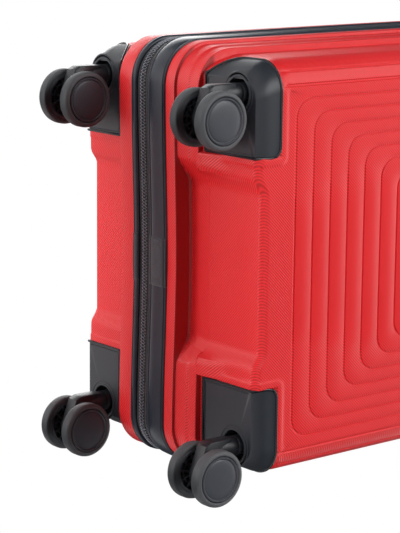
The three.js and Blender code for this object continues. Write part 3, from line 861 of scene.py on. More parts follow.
def housing_reach(angle, inner_y, inset, side_inset=0.0, face_inset=0.0):
    """Distance from the socket's centre to the housing's plan outline, in one direction."""
    dx, dy = math.cos(angle), math.sin(angle)
    x0 = HOUSING["inner"] + inset - CASTER_X
    x1 = 222.5 - inset - side_inset - CASTER_X
    y0 = inner_y + inset - CASTER_Y
    y1 = FACE_Y - inset - face_inset - CASTER_Y
    reaches = []
    if dx > 1e-9:
        reaches.append(x1 / dx)
    if dx < -1e-9:
        reaches.append(x0 / dx)
    if dy > 1e-9:
        reaches.append(y1 / dy)
    if dy < -1e-9:
        reaches.append(y0 / dy)
    reach = min(reaches)
    radius = HOUSING["corner"] - inset - (side_inset + face_inset) / 2
    cx, cy = x1 - radius, y1 - radius
    if dx * reach > cx and dy * reach > cy:
        # The rounded outer corner: where the ray meets its circle.
        b = dx * cx + dy * cy
        c = cx * cx + cy * cy - radius * radius
        reach = b + math.sqrt(max(0, b * b - c))
    return reach


def housing_angles(inner_y):
    """Directions from the socket: even steps, and the exact corners."""
    x0 = HOUSING["inner"] - CASTER_X
    y0 = inner_y - CASTER_Y
    exact = [math.atan2(y0, x0), math.atan2(FACE_Y - CASTER_Y, x0), math.atan2(y0, 205.5 - CASTER_X)]
    exact += [math.atan2(FACE_Y - CASTER_Y, x0 + 1.6 * i) for i in range(1, 9)]
    even = [-math.pi + 2 * math.pi * i / 150 for i in range(150)]
    kept = [a for a in even if all(abs(a - e) > 0.012 for e in exact)]
    return sorted(kept + exact)


def housing_point(angle, inner_y, inset, z):
    """A point of the cap's wall: its side leans in towards the foot, and its face a little."""
    up = min(1, max(0, (z - HOUSING["foot"]) / 31))
    side_lean = 17 * (1 - up) ** 1.75
    face_lean = 4.2 * (1 - min(1, up * 2)) ** 1.6
    reach = housing_reach(angle, inner_y, inset, side_lean, face_lean)
    return CASTER_X + math.cos(angle) * reach, CASTER_Y + math.sin(angle) * reach, z


def wall_top(angle, inner_y):
    """Height where the wall in one direction meets the cap's upper edge."""
    low, high = HOUSING["foot"] + 0.6, HOUSING["top"]
    for _ in range(18):
        middle = (low + high) / 2
        x, y, _ = housing_point(angle, inner_y, 0, middle)
        under_shell = x < HOUSING["inner"] + 1 and y < FACE_Y - 1
        if not under_shell and cap_height(x, y, inner_y) > middle:
            low = middle
        else:
            high = middle
    return low


def wheel_housing(corner, side, cross):
    """A corner cap with its crease, its double-lipped socket and the bead along its edge."""
    inner_y = HOUSING["front"] if side < 0 else HOUSING["back"]
    proud = size("housing_proud")
    foot = HOUSING["foot"] - proud
    angles = housing_angles(inner_y)

    def circle(radius, z):
        return [(CASTER_X + radius * math.cos(a), CASTER_Y + radius * math.sin(a), z) for a in angles]

    def wall(share, slack, deepen=0):
        """A ring up the walls: share 0 is the crease and 1 the upper edge."""
        ring = []
        for a in angles:
            top = wall_top(a, inner_y)
            z = foot + 0.6 + max(0.4, top - foot - 0.6) * share
            x, y, _ = housing_point(a, inner_y, slack - proud, z)
            ring.append((x, y, z + deepen))
        return ring

    rings = [circle(SOCKET, 95), circle(SOCKET, 74), circle(SOCKET, foot - 0.2), circle(SOCKET + 0.5, foot - 0.9)]
    rings += [circle(SOCKET + 2.1, foot - 0.9), circle(SOCKET + 2.6, foot - 0.3), circle(SOCKET + 3, foot)]
    rings += [circle(SOCKET + 4.4, foot), circle(SOCKET + 4.9, foot - 0.5), circle(SOCKET + 6, foot - 0.5)]
    rings += [circle(SOCKET + 6.5, foot)]
    crease = wall(0, 0.9)
    rings.append([(x, y, foot) for x, y, _ in crease])
    rings += [wall(0.0, 0.15), wall(0.03, 0)]
    rings += [wall(s, 0) for s in (0.12, 0.25, 0.4, 0.55, 0.7, 0.85, 0.96)]
    rings += [wall(1, 0.2), wall(1, 1.6, 0.3), wall(1, 3.5, -2)]
    roof_centre = [(CASTER_X, CASTER_Y, 95)] * len(angles)
    rings.insert(0, roof_centre)
    points, faces = loft(rings, around=False)
    placed = [(x * cross, y * side, z) for x, y, z in points]
    cap = solid("wheel_housing_" + corner + "_cap", placed, faces, "housing", 32)
    body = "lid" if side < 0 else "back_half"
    settle(cap, body, "housing", "wheel_housing_" + corner)
    edge = wall(1, 0.1)
    bead_path = []
    for x, y, z in edge:
        on_foot = z < HOUSING["foot"] + 2
        bead_path.append((x * cross, y * side, foot - 0.1 if on_foot else z))
    points, faces = bar_along(bead_path, 1.6, 10, closed=True)
    bead = solid("wheel_housing_" + corner + "_bead", points, faces, "bead", 60)
    settle(bead, body, "housing")


class SUITCASE_OT_wheel_housings(bpy.types.Operator):
    """Fit the four corner caps with their round sockets and edge beads"""

    bl_idname = "suitcase.wheel_housings"
    bl_label = "Wheel housings"

    def execute(self, context):
        for corner, side, cross in CORNERS:
            wheel_housing(corner, side, cross)
            refinish("swivel_pin_" + corner, "steel")
        return {"FINISHED"}


# ------------------------------------------------------------------ casters
TYRE_SECTION = [
    (24.9, 8.2), (28.0, 7.6), (29.6, 7.8), (30.6, 8.7), (31.0, 10.4), (31.0, 16.8), (30.7, 18.6),
    (29.9, 19.9), (28.6, 20.7), (26.9, 21.1), (25.9, 20.9), (25.5, 20.2), (25.2, 19.0), (24.9, 17.0),
]
HUB_SECTION = [
    (0.01, 21.35), (8, 21.3), (15, 21.05), (19.6, 20.6), (21.2, 20.2), (21.7, 19.8), (22.1, 19.9),
    (22.5, 20.9), (23.1, 21.4), (23.9, 21.4), (24.5, 20.9), (24.8, 20.0), (24.9, 18.0), (24.9, 8.0),
    (24.3, 7.5), (22.4, 7.4), (21.6, 7.9), (20.9, 9.4), (20.4, 15.2), (9.0, 15.6), (8.3, 14.8),
    (7.9, 7.6), (7.3, 7.1), (3.4, 7.0), (3.1, 7.4), (3.1, 17.4), (0.01, 17.5),
]


def wheel(corner, x, y, letter):
    """A tyre moulded on a hub with a domed cap outside and ribs inside."""
    face = -1 if letter == "a" else 1
    upright = Matrix.Rotation(math.radians(90 if face < 0 else -90), 3, "X")
    centre = (x + WHEEL_TRAIL, y + face * PAIR_SHIFT, WHEEL_Z)
    body = "rolling_" + corner + "_" + letter
    node = "wheel_" + corner + "_" + letter
    tyre = solid(node + "_tyre", *put(lathe(TYRE_SECTION, 96), upright, centre), "tyre", 50)
    settle(tyre, body, "wheel", node)
    hub = solid(node + "_hub", *put(lathe(HUB_SECTION, 72, closed=False), upright, centre), "hub", 32)
    settle(hub, body, "wheel")
    ribs = []
    count = bpy.context.scene.suitcase_sizes.rib_count
    for i in range(count):
        turn = Matrix.Rotation(2 * math.pi * i / count, 3, "Z")
        ribs.append(put(box_part((7.6, -0.7, 9.6), (20.9, 0.7, 15.6), 0.25), turn))
    ring = lathe([(14.4, 11), (15.4, 11), (15.4, 15.6), (14.4, 15.6)], 48)
    web = gather([*ribs, ring])
    spokes = solid(node + "_ribs", *put(web, upright, centre), "rib", 40)
    settle(spokes, body, "wheel")


def fork(corner, x, y):
    """The round neck in its socket, and the flat arm that drops back to the axle."""
    neck_rows = [
        (11.5, 11.5, 0, 93), (11.5, 11.5, 0, 74), (11.2, 11.2, 0, 71.5), (10.7, 10.7, 0, 70.4),
        (11.4, 11.4, 0, 69), (11.6, 11.5, 0, 66), (11.8, 11.0, 0.2, 61), (11.9, 10.2, 0.5, 55),
        (11.8, 9.0, 0.9, 49), (11.0, 8.2, 1.6, 44), (8.6, 7.2, 2.6, 41),
    ]
    count = 48
    rings = []
    for rx, ry, shift, z in neck_rows:
        ring = []
        for i in range(count):
            a = 2 * math.pi * i / count
            ring.append((rx * math.cos(a) + shift, ry * math.sin(a), z))
        rings.append(ring)
    neck = loft(rings, around=False, caps=True)
    eye = 15.6
    side_view = [(-11.4, 62), (-11.5, 35), (-11.0, 32.6), (-8.0, 26.6)]
    for i in range(19):
        a = -2.1 + 2.9 * i / 18
        side_view.append((WHEEL_TRAIL + eye * math.cos(a), WHEEL_Z + eye * math.sin(a)))
    side_view += [(20, 48), (14.0, 56), (11.4, 62)]
    half = 8
    rows = [(-half, 1.0), (-half + 0.35, 0.35), (-half + 1.1, 0), (half - 1.1, 0), (half - 0.35, 0.35), (half, 1.0)]
    middle = Vector((WHEEL_TRAIL / 2, 42))
    arm_rings = []
    for offset, inset in rows:
        ring = []
        for px, pz in side_view:
            away = Vector((px, pz)) - middle
            shrunk = middle + away * (1 - inset / away.length)
            ring.append((shrunk.x, offset, shrunk.y))
        arm_rings.append(ring)
    arm = loft(arm_rings, around=False, caps=True)
    upright = Matrix.Rotation(math.radians(90), 3, "X")
    boss = put(lathe([(0.01, -12.8), (7.0, -12.8), (7.6, -12.2), (7.6, 12.2), (7.0, 12.8), (0.01, 12.8)], 40, False),
               upright, (WHEEL_TRAIL, 0, WHEEL_Z))
    obj = solid("caster_fork_" + corner + "_arm", *put(gather([neck, arm, boss]), None, (x, y, 0)), "fork", 38)
    settle(obj, "caster_" + corner, "fork", "caster_fork_" + corner)


class SUITCASE_OT_casters(bpy.types.Operator):
    """Build the four casters: forks, axles and double wheels"""

    bl_idname = "suitcase.casters"
    bl_label = "Casters"

    def execute(self, context):
        for corner, side, cross in CORNERS:
            x, y = CASTER_X * cross, CASTER_Y * side
            fork(corner, x, y)
            wheel(corner, x, y, "a")
            wheel(corner, x, y, "b")
            refinish("caster_axle_" + corner, "steel")
        return {"FINISHED"}


# ------------------------------------------------------------------ zip band
BINDING_FRONT = [
    (-9.4, -2.2), (-9.6, -0.4), (-9.3, 0.7), (-8.6, 1.3), (-7.8, 1.2), (-7.1, 0.3), (-6.6, 0.0), (-6.1, 0.4),
    (-5.4, 1.3), (-3, 1.7), (2, 2.1), (8, 2.2), (13, 1.9), (15.4, 1.5), (16.0, 1.0), (16.5, 0.9), (17.0, 1.2),
    (18.0, 1.6), (19.2, 1.3), (19.9, 0.5), (20.0, -0.8), (19.6, -2.2),
]
BINDING_BACK = [
    (40.9, -2.2), (41.0, -0.4), (41.3, 0.6), (42.0, 1.3), (43.6, 1.7), (45.6, 1.8), (47.0, 1.3), (47.6, 0.6),
    (48.1, 1.1), (48.9, 1.2), (49.6, 0.5), (49.7, -0.8), (49.4, -2.2),
]
TAPE_FRONT = [(20.3, -3.4), (20.4, -1.9), (22, -1.5), (25.4, -1.5), (26.2, -2.0), (30.6, -2.3), (30.8, -3.2)]
TAPE_BACK = [(31.2, -3.2), (31.4, -2.3), (35.8, -2.0), (36.6, -1.5), (39.0, -1.5), (40.6, -1.9), (40.7, -3.4)]


def rim_point(place, proud, y):
    x, z, nx, nz = place
    return x + nx * proud, y, z + nz * proud


def rim_band(name, section, finish, body, slot, *nodes):
    """A band round the whole rim. Its section is (y, height above the rim)."""
    rim = outline(RIM, RIM_BOW)
    rings = [[rim_point(place, proud, y) for place in rim] for y, proud in section]
    points, faces = loft(rings)
    obj = solid(name, points, faces, finish, 38)
    return settle(obj, body, slot, *nodes)


def rim_walk(pitch, keep):
    """Places at even steps along the rim, where keep(x, z) holds, in runs."""
    rim = outline(RIM, RIM_BOW)
    rim.append(rim[0])
    runs, current, carry = [], [], 0.0
    for first, second in zip(rim, rim[1:]):
        span = math.hypot(second[0] - first[0], second[1] - first[1])
        at = carry
        while at < span:
            t = at / span
            place = tuple(a + (b - a) * t for a, b in zip(first, second))
            if keep(place[0], place[1]):
                current.append(place)
            elif current:
                runs.append(current)
                current = []
            at += pitch
        carry = at - span
    if current:
        runs.append(current)
    if len(runs) > 1:
        runs[0] = runs.pop() + runs[0]
    return runs


def clear_of_hinge(x, z):
    return x > 0 or not 150 < z < 2 * MID_Z - 150


def zip_teeth(name, side, body):
    """Half of the coil: a nylon wire that loops out to the tape and back at each tooth."""
    pitch = size("tooth_pitch")
    parts = []
    for run in rim_walk(pitch / 2, clear_of_hinge):
        path = []
        for i, place in enumerate(run):
            reach = 0.35 if i % 2 else 4.4
            height = -0.2 if i % 2 else -0.9
            path.append(rim_point(place, height, ZIP_Y + side * reach))
        parts.append(bar_along(path, 0.8, 6, up=(0, 1, 0)))
    points, faces = gather(parts)
    obj = solid(name, points, faces, "teeth", 60)
    settle(obj, body, "zip_tape")


def stitch_row(name, y, proud, body, pitch=3.2):
    """A row of short stitches along the rim."""
    parts = []
    for run in rim_walk(pitch, clear_of_hinge):
        for place, after in zip(run, run[1:]):
            if math.hypot(after[0] - place[0], after[1] - place[1]) > pitch * 1.5:
                continue
            end = tuple(a + (b - a) * 0.62 for a, b in zip(place, after))
            parts.append(bar_along([rim_point(place, proud, y), rim_point(end, proud, y)], 0.28, 4))
    obj = solid(name, *gather(parts), "piping", 60)
    settle(obj, body, "zip_tape")


def joining_sleeve(name, x0, x1, section, body):
    """The short cloth sleeve over the joint in a binding, under the suitcase."""
    rows = []
    for i in range(15):
        t = i / 14
        x = x0 + (x1 - x0) * t
        swell = 0.75 + 0.25 * math.sin(math.pi * t)
        if i in (0, 14):
            swell = 0.25
        if i in (2, 12):
            swell -= 0.3
        rows.append([(x, y, 59.5 + RIM_BOW - proud - swell) for y, proud in section])
    points, faces = loft(rows, closed=False, around=False)
    obj = solid(name, points, faces, "sleeve", 60)
    thick = obj.modifiers.new("cloth", "SOLIDIFY")
    thick.thickness = 0.5 * MM
    thick.offset = 0
    settle(obj, body, "binding")


class SUITCASE_OT_zip_band(bpy.types.Operator):
    """Sew the bindings, the zip tapes, the coil and the joining sleeves round the rims"""

    bl_idname = "suitcase.zip_band"
    bl_label = "Zip band"

    def execute(self, context):
        rim_band("front_binding_sewn", BINDING_FRONT, "binding", "lid", "binding", "front_rim_binding")
        rim_band("back_binding_sewn", BINDING_BACK, "binding", "back_half", "binding", "back_rim_binding")
        rim_band("front_tape_woven", TAPE_FRONT, "tape", "lid", "zip_tape", "front_zip_tape")
        rim_band("back_tape_woven", TAPE_BACK, "tape", "back_half", "zip_tape", "back_zip_tape")
        zip_teeth("front_zip_teeth", -1, "lid")
        zip_teeth("back_zip_teeth", 1, "back_half")
        stitch_row("front_tape_stitches", 23.4, -1.35, "lid")
        stitch_row("back_tape_stitches", 38.2, -1.35, "back_half")
        joining_sleeve("front_joining_sleeve", -21, 34, BINDING_FRONT[1:-1], "lid")
        joining_sleeve("back_joining_sleeve", -21, 34, BINDING_BACK[1:-1], "back_half")
        self.hinge_cloth()
        return {"FINISHED"}

    def hinge_cloth(self):
        """The woven hinge inside the left side."""
        low, high = lowest("hinge_tape")
        rows = []
        for i in range(57):
            z = low.z + (high.z - low.z) * i / 56
            row = []
            for j in range(25):
                t = j / 24
                swell = math.sin(math.pi * t) * (0.5 + 0.12 * math.sin(z * 0.12))
                row.append((low.x + 0.6 + swell, low.y + (high.y - low.y) * t, z))
            rows.append(row)
        points, faces = loft(rows, closed=False, around=False)
        cloth = solid("hinge_cloth", points, faces, "webbing", 60)
        thick = cloth.modifiers.new("cloth", "SOLIDIFY")
        thick.thickness = 1.0 * MM
        thick.offset = 0
        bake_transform(cloth)
        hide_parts("hinge_tape")


# ------------------------------------------------------------------ trolley, handles, lock and zip pulls
class SUITCASE_OT_trolley(bpy.types.Operator):
    """Fit the telescopic trolley handle and its tub"""

    bl_idname = "suitcase.trolley"
    bl_label = "Trolley handle"

    def execute(self, context):
        refined("trolley_tub", "housing", 1.0)
        refined("trolley_foot", "housing", 0.8)
        refined("trolley_grip", "grip", 2.2)
        refined("trolley_button", "lock", 0.7)
        for stage in ("outer", "middle", "inner"):
            for side in ("left", "right"):
                refinish(stage + "_tube_" + side, "tube")
        return {"FINISHED"}


class SUITCASE_OT_carry_handles(bpy.types.Operator):
    """Fit the carry handles on the top and on the right side"""

    bl_idname = "suitcase.carry_handles"
    bl_label = "Carry handles"

    def execute(self, context):
        for place in ("top", "side"):
            refined(place + "_handle_base", "housing", 0.7)
            refined(place + "_handle_grip", "grip", 1.8)
        return {"FINISHED"}


def dial(node, body):
    """A knurled number wheel of the lock."""
    low, high = lowest(node)
    middle = (low + high) / 2
    radius = (high.y - low.y) / 2
    width = high.z - low.z
    count = 40
    rows = [(0.2, 0, 0), (0.86, 0, 0), (0.97, 0.08, 0.5), (1, 0.2, 1), (1, 0.8, 1), (0.97, 0.92, 0.5), (0.86, 1, 0),
            (0.2, 1, 0)]
    rings = []
    for share, at, knurl in rows:
        ring = []
        for i in range(count):
            a = 2 * math.pi * i / count
            r = radius * share - (0.45 * knurl if i % 4 in (0, 3) else 0)
            ring.append((middle.x + r * math.cos(a), middle.y + r * math.sin(a), low.z + width * at))
        rings.append(ring)
    points, faces = loft(rings, around=False, caps=True)
    obj = solid(node + "_knurled", points, faces, "lock_metal", 30)
    settle(obj, body, "lock_metal", node)


class SUITCASE_OT_lock(bpy.types.Operator):
    """Fit the combination lock"""

    bl_idname = "suitcase.lock"
    bl_label = "Lock"

    def execute(self, context):
        refined("lock_housing", "lock", 0.7)
        refined("lock_button", "lock_metal", 0.5)
        refined("lock_key_core", "lock_metal", 0.3)
        for i in (1, 2, 3):
            dial("lock_dial_" + str(i), "dial_" + str(i))
        return {"FINISHED"}


class SUITCASE_OT_zip_pulls(bpy.types.Operator):
    """Fit the two zip sliders and their pull tabs"""

    bl_idname = "suitcase.zip_pulls"
    bl_label = "Zip sliders and pulls"

    def execute(self, context):
        for place in ("lower", "upper"):
            refined(place + "_zip_slider", "zip_metal", 0.6)
            refined(place + "_zip_pull", "lock", 0.7)
            self.pull_frame(place)
        return {"FINISHED"}

    def pull_frame(self, place):
        """A raised metal frame on the pull tab."""
        low, high = lowest(place + "_zip_pull")
        x = high.x - 0.1
        y0, y1 = low.y + 5, high.y - 14
        z0, z1 = low.z + 3, high.z - 3
        path = []
        for cy, cz, start in ((y1 - 2, z1 - 2, 0), (y0 + 2, z1 - 2, 90), (y0 + 2, z0 + 2, 180), (y1 - 2, z0 + 2, 270)):
            for k in range(5):
                a = math.radians(start + 22.5 * k)
                path.append((x, cy + 2 * math.cos(a), cz + 2 * math.sin(a)))
        obj = solid(place + "_pull_frame", *bar_along(path, 0.5, 6, closed=True, up=(1, 0, 0)), "zip_metal", 60)
        settle(obj, place + "_pull", "zip_metal")


# ------------------------------------------------------------------ inside
def crumple(x, y, z, depth):
    """Soft folds of stretched cloth."""
    waves = math.sin(x * 0.031 + z * 0.017) + 0.6 * math.sin(x * 0.013 - z * 0.041 + y * 0.02)
    waves += 0.35 * math.sin(x * 0.09 + y * 0.05) * math.sin(z * 0.07)
    return depth * waves / 2


def lining_tray(name, low, high, floor, mouth, feet, body, node):
    """Lining cloth: four walls and a floor with rounded corners, open at its mouth."""
    rim = []
    half_x = (high.x - low.x) / 2
    middle_x = (high.x + low.x) / 2
    radius = 24
    count = 32
    for cx, cz, start in ((1, -1, -90), (1, 1, 0), (-1, 1, 90), (-1, -1, 180)):
        for k in range(9):
            a = math.radians(start + 90 * k / 8)
            px = middle_x + cx * (half_x - radius) + radius * math.cos(a)
            pz = (high.z - radius if cz > 0 else low.z + radius) + radius * math.sin(a)
            rim.append((px, pz))
    full = []
    for (ax, az), (bx, bz) in zip(rim, rim[1:] + rim[:1]):
        long_side = math.hypot(bx - ax, bz - az) > 30
        steps = count if long_side else 1
        full += [(ax + (bx - ax) * i / steps, az + (bz - az) * i / steps) for i in range(steps)]
    centre_z = (low.z + high.z) / 2
    inward = 1 if floor < mouth else -1

    def stepped(x, z):
        """The foot's corners rise over the wheel sockets."""
        if not feet or z > 160 or abs(x) < 140:
            return z
        lift = 20 * smoothstep(146, 160, abs(x)) * (1 - smoothstep(106, 160, z))
        return z + lift

    rings = []
    for share, inset in ((0, 0), (0.02, 0.4), (0.2, 1.5), (0.4, 2), (0.6, 2), (0.8, 1.5), (0.93, 2.5), (0.985, 6), (1, 12)):
        y = mouth + (floor - mouth) * share
        ring = []
        for x, z in full:
            dx, dz = x - middle_x, z - centre_z
            away = math.hypot(dx, dz)
            fold = inset + max(0, crumple(x, y * 3, z, 1.6)) * math.sin(math.pi * share)
            px, pz = x - dx / away * fold, z - dz / away * fold
            ring.append((px, y, stepped(px, pz)))
        rings.append(ring)
    edge = rings[-1]
    for share in (0.08, 0.16, 0.26, 0.38, 0.5, 0.62, 0.74, 0.86, 0.999):
        ring = []
        for x, y, z in edge:
            px = middle_x + (x - middle_x) * (1 - share)
            pz = centre_z + (z - centre_z) * (1 - share)
            ring.append((px, y + inward * (1.2 + crumple(px, 0, pz, 1.2)), pz))
        rings.append(ring)
    points, faces = loft(rings, around=False)
    cloth = solid(name, points, faces, "lining", 60)
    thick = cloth.modifiers.new("cloth", "SOLIDIFY")
    thick.thickness = 0.8 * MM
    thick.offset = 0
    settle(cloth, body, "lining", node)
    mouth_bar = solid(name + "_edge", *bar_along([(x, mouth, z) for x, z in full], 1.4, 8, closed=True), "seam", 60)
    settle(mouth_bar, body, "lining")
    return full


def flat_cloth(name, low, high, finish, body, depth, axis_y, waves, node=None):
    """A nearly flat cloth panel facing the opening, with soft folds."""
    columns = 40
    rows = []
    for i in range(columns + 1):
        z = low[1] + (high[1] - low[1]) * i / columns
        row = []
        for j in range(columns + 1):
            x = low[0] + (high[0] - low[0]) * j / columns
            edge = min(1, 6 * min(i, columns - i, j, columns - j) / columns)
            row.append((x, axis_y + depth * (waves(x, z) * edge), z))
        rows.append(row)
    points, faces = loft(rows, closed=False, around=False)
    obj = solid(name, points, faces, finish, 60)
    thick = obj.modifiers.new("cloth", "SOLIDIFY")
    thick.thickness = 0.8 * MM
    thick.offset = 0
    settle(obj, body, "lining", *([node] if node else []))
    return obj


def seam_frame(name, x0, x1, z0, z1, y, body, radius=1.0, corner=10, finish="seam"):
    """A piped seam round a panel."""
    path = []
    for cx, cz, start in ((x1 - corner, z0 + corner, -90), (x1 - corner, z1 - corner, 0),
                          (x0 + corner, z1 - corner, 90), (x0 + corner, z0 + corner, 180)):
        for k in range(7):
            a = math.radians(start + 15 * k)
            path.append((cx + corner * math.cos(a), y, cz + corner * math.sin(a)))
    obj = solid(name, *bar_along(path, radius, 8, closed=True, up=(0, 1, 0)), finish, 60)
    settle(obj, body, "lining")


def webbing_strap(name, node, body):
    """A flat strap that dips a little in the middle, with a buckle."""
    low, high = lowest(node)
    rows = []
    for i in range(61):
        t = i / 60
        x = low.x + (high.x - low.x) * t
        dip = 2.2 * math.sin(math.pi * t)
        row = []
        for z, lift in ((low.z, 0), (low.z, 1.3), (low.z + 1.2, 1.6), (high.z - 1.2, 1.6), (high.z, 1.3), (high.z, 0)):
            row.append((x, low.y + dip + lift - 0.1, z))
        rows.append(row)
    points, faces = loft(rows, around=False, caps=True)
    strap = solid(name, points, faces, "webbing", 40)
    settle(strap, body, "zip_tape", node)
    y = low.y + 2.1
    mid = (low.z + high.z) / 2
    shell_part = box_part((-22, y - 4.4, mid - 19), (22, y + 3.6, mid + 19), 2.2)
    prong = box_part((-44, y - 2.6, mid - 16), (-22.5, y + 2.4, mid + 16), 1.6)
    bar = box_part((22.5, y - 2.6, mid - 18), (30, y + 2.4, mid + 18), 1.6)
    window = [box_part((-15, y - 5.2, mid + z - 1.2), (15, y - 4.1, mid + z + 1.2), 0.4) for z in (-10, -5, 0, 5, 10)]
    buckle = solid(name + "_buckle", *gather([shell_part, prong, bar, *window]), "lock", 40)
    settle(buckle, body, "zip_tape")


class SUITCASE_OT_interior(bpy.types.Operator):
    """Sew the linings, the panel over the trolley tubes, the pocket and the packing straps"""

    bl_idname = "suitcase.interior"
    bl_label = "Interior"

    def execute(self, context):
        low, high = lowest("front_lining")
        lining_tray("front_lining_cloth", low + Vector((1, 0, 1)), high - Vector((1, 0, 1)),
                    low.y + 1.5, high.y - 1, True, "lid", "front_lining")
        seam_frame("front_lining_seam", -196, 196, 112, 656, low.y + 3.6, "lid", 1.0, 22)
        pocket = flat_cloth("mesh_pocket_cloth", (-186, 122), (186, 420), "lining", "lid", -3.5, low.y + 9,
                            lambda x, z: 0.4 * math.sin(x * 0.05) + 0.3 * math.sin(z * 0.04 + x * 0.02))
        seam_frame("mesh_pocket_piping", -187, 187, 121, 421, low.y + 9, "lid", 1.6, 4)
        low, high = lowest("back_lining")
        lining_tray("back_lining_cloth", low + Vector((1, 0, 1)), high - Vector((1, 0, 1)),
                    high.y - 0.6, low.y + 1, False, "back_half", "back_lining")
        low, high = lowest("trolley_cover_panel")
        cover = flat_cloth("trolley_cover_cloth", (low.x, low.z), (high.x, high.z), "lining", "back_half", -0.5,
                           (low.y + high.y) / 2, lambda x, z: math.sin(x * 0.03) * math.sin(z * 0.02),
                           "trolley_cover_panel")
        for place in ("lower", "upper"):
            webbing_strap(place + "_packing_webbing", place + "_packing_strap", "back_half")
        return {"FINISHED"}


# ------------------------------------------------------------------ stage
CAMERA_AXES = (
    (-0.00896744, -0.98059321, -0.19584827),
    (-0.62960626, 0.15769627, -0.76074164),
    (0.77686263, 0.11648539, -0.61880175),
)
CAMERA_PLACE = (-0.42271, -1.69702, -1.26238)


def soft_light(name, place, target, width, power, tint=(1, 1, 1)):
    """A square area light that faces a target."""
    data = bpy.data.lights.new(name, "AREA")
    data.size = width
    data.energy = power
    data.color = tint
    lamp = bpy.data.objects.new(name, data)
    bpy.context.scene.collection.objects.link(lamp)
    lamp.location = place
    lamp.rotation_euler = (Vector(target) - Vector(place)).to_track_quat("-Z", "Y").to_euler()
    return lamp


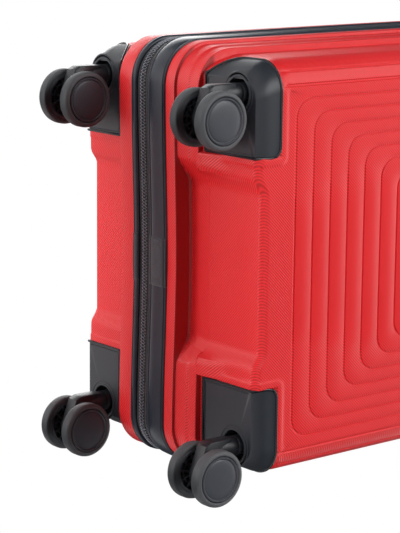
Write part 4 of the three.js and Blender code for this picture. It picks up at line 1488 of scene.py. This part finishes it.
class SUITCASE_OT_stage(bpy.types.Operator):
    """Set the pale floor, the studio lights and the camera"""

    bl_idname = "suitcase.stage"
    bl_label = "Stage"

    def execute(self, context):
        self.floor()
        self.room()
        centre = (0, 0, 0.3)
        soft_light("underside_light", (-0.5, 1.2, -2.15), (0, 0, 0.1), 1.6, 42)
        soft_light("face_light", (-1.1, -2.1, 1.25), centre, 1.4, 45)
        soft_light("camera_fill", (-1.6, -1.6, -0.7), centre, 1.6, 0.8)
        soft_light("top_light", (0.3, 0.3, 3.6), centre, 4.5, 185)
        soft_light("back_light", (-0.8, 2.6, 1.2), centre, 1.8, 45)
        data = bpy.data.cameras.new("camera")
        data.lens = 134.7
        data.sensor_width = 36
        data.clip_start = 0.05
        data.clip_end = 60
        camera = bpy.data.objects.new("camera", data)
        context.scene.collection.objects.link(camera)
        camera.matrix_world = Matrix.Translation(CAMERA_PLACE) @ Matrix(CAMERA_AXES).to_4x4()
        context.scene.camera = camera
        context.scene.view_settings.view_transform = "Standard"
        return {"FINISHED"}

    def floor(self):
        """A pale floor that is seen from above only, so the underside can be looked at."""
        reach = 6
        mesh = bpy.data.meshes.new("floor")
        corners = [(-reach, -reach, 0), (reach, -reach, 0), (reach, reach, 0), (-reach, reach, 0)]
        mesh.from_pydata(corners, [], [(0, 1, 2, 3)])
        floor = bpy.data.objects.new("floor", mesh)
        bpy.context.scene.collection.objects.link(floor)
        finish = Finish("pale_floor")
        clouds = finish.noise(3, 3)
        pale = finish.blend(clouds, (0.8, 0.8, 0.8, 1), (0.86, 0.86, 0.86, 1))
        paint = finish.node("ShaderNodeBsdfDiffuse", inputs={"Color": pale})
        clear = finish.node("ShaderNodeBsdfTransparent")
        below = finish.node("ShaderNodeNewGeometry", output=6)
        x, y, _ = finish.axes()
        faded = ((x * x + y * y) * 2.2e-7 - 0.16).clamped()
        unseen = (faded + below).clamped()
        both = finish.node("ShaderNodeMixShader", inputs={0: unseen, 1: paint, 2: clear})
        finish.node("ShaderNodeOutputMaterial", inputs={0: both})
        mesh.materials.append(finish.material)
        floor.visible_shadow = False

    def room(self):
        """Even light all round, with a white backdrop for the camera."""
        world = bpy.data.worlds.new("studio")
        world.use_nodes = True
        bpy.context.scene.world = world
        tree = world.node_tree
        tree.nodes.clear()
        path = tree.nodes.new("ShaderNodeLightPath")
        soft = tree.nodes.new("ShaderNodeBackground")
        soft.inputs[0].default_value = (0.9, 0.93, 1, 1)
        soft.inputs[1].default_value = 0.07
        white = tree.nodes.new("ShaderNodeBackground")
        white.inputs[0].default_value = (1, 1, 1, 1)
        white.inputs[1].default_value = 1.0
        mix = tree.nodes.new("ShaderNodeMixShader")
        end = tree.nodes.new("ShaderNodeOutputWorld")
        tree.links.new(path.outputs["Is Camera Ray"], mix.inputs[0])
        tree.links.new(soft.outputs[0], mix.inputs[1])
        tree.links.new(white.outputs[0], mix.inputs[2])
        tree.links.new(mix.outputs[0], end.inputs[0])


# ------------------------------------------------------------------ add-on
OPERATORS = (
    SUITCASE_OT_stage,
    SUITCASE_OT_shells,
    SUITCASE_OT_wheel_housings,
    SUITCASE_OT_casters,
    SUITCASE_OT_zip_band,
    SUITCASE_OT_trolley,
    SUITCASE_OT_carry_handles,
    SUITCASE_OT_lock,
    SUITCASE_OT_zip_pulls,
    SUITCASE_OT_interior,
)


class SUITCASE_PT_pieces(bpy.types.Panel):
    """Buttons for each group of pieces, with the colours and sizes."""

    bl_idname = "SUITCASE_PT_pieces"
    bl_label = "Suitcase"
    bl_space_type = "VIEW_3D"
    bl_region_type = "UI"
    bl_category = "Suitcase"

    def draw(self, context):
        for settings in (context.scene.suitcase_colours, context.scene.suitcase_sizes):
            column = self.layout.column()
            for name in type(settings).__annotations__:
                column.prop(settings, name)
        for operator in OPERATORS:
            self.layout.operator(operator.bl_idname)


CLASSES = (SuitcaseColours, SuitcaseSizes, *OPERATORS, SUITCASE_PT_pieces)


def register():
    for item in CLASSES:
        bpy.utils.register_class(item)
    bpy.types.Scene.suitcase_colours = bpy.props.PointerProperty(type=SuitcaseColours)
    bpy.types.Scene.suitcase_sizes = bpy.props.PointerProperty(type=SuitcaseSizes)


def unregister():
    del bpy.types.Scene.suitcase_sizes
    del bpy.types.Scene.suitcase_colours
    for item in reversed(CLASSES):
        bpy.utils.unregister_class(item)


def main():
    register()
    for operator in OPERATORS:
        group, action = operator.bl_idname.split(".")
        getattr(getattr(bpy.ops, group), action)()


if __name__ == "__main__":
    main()
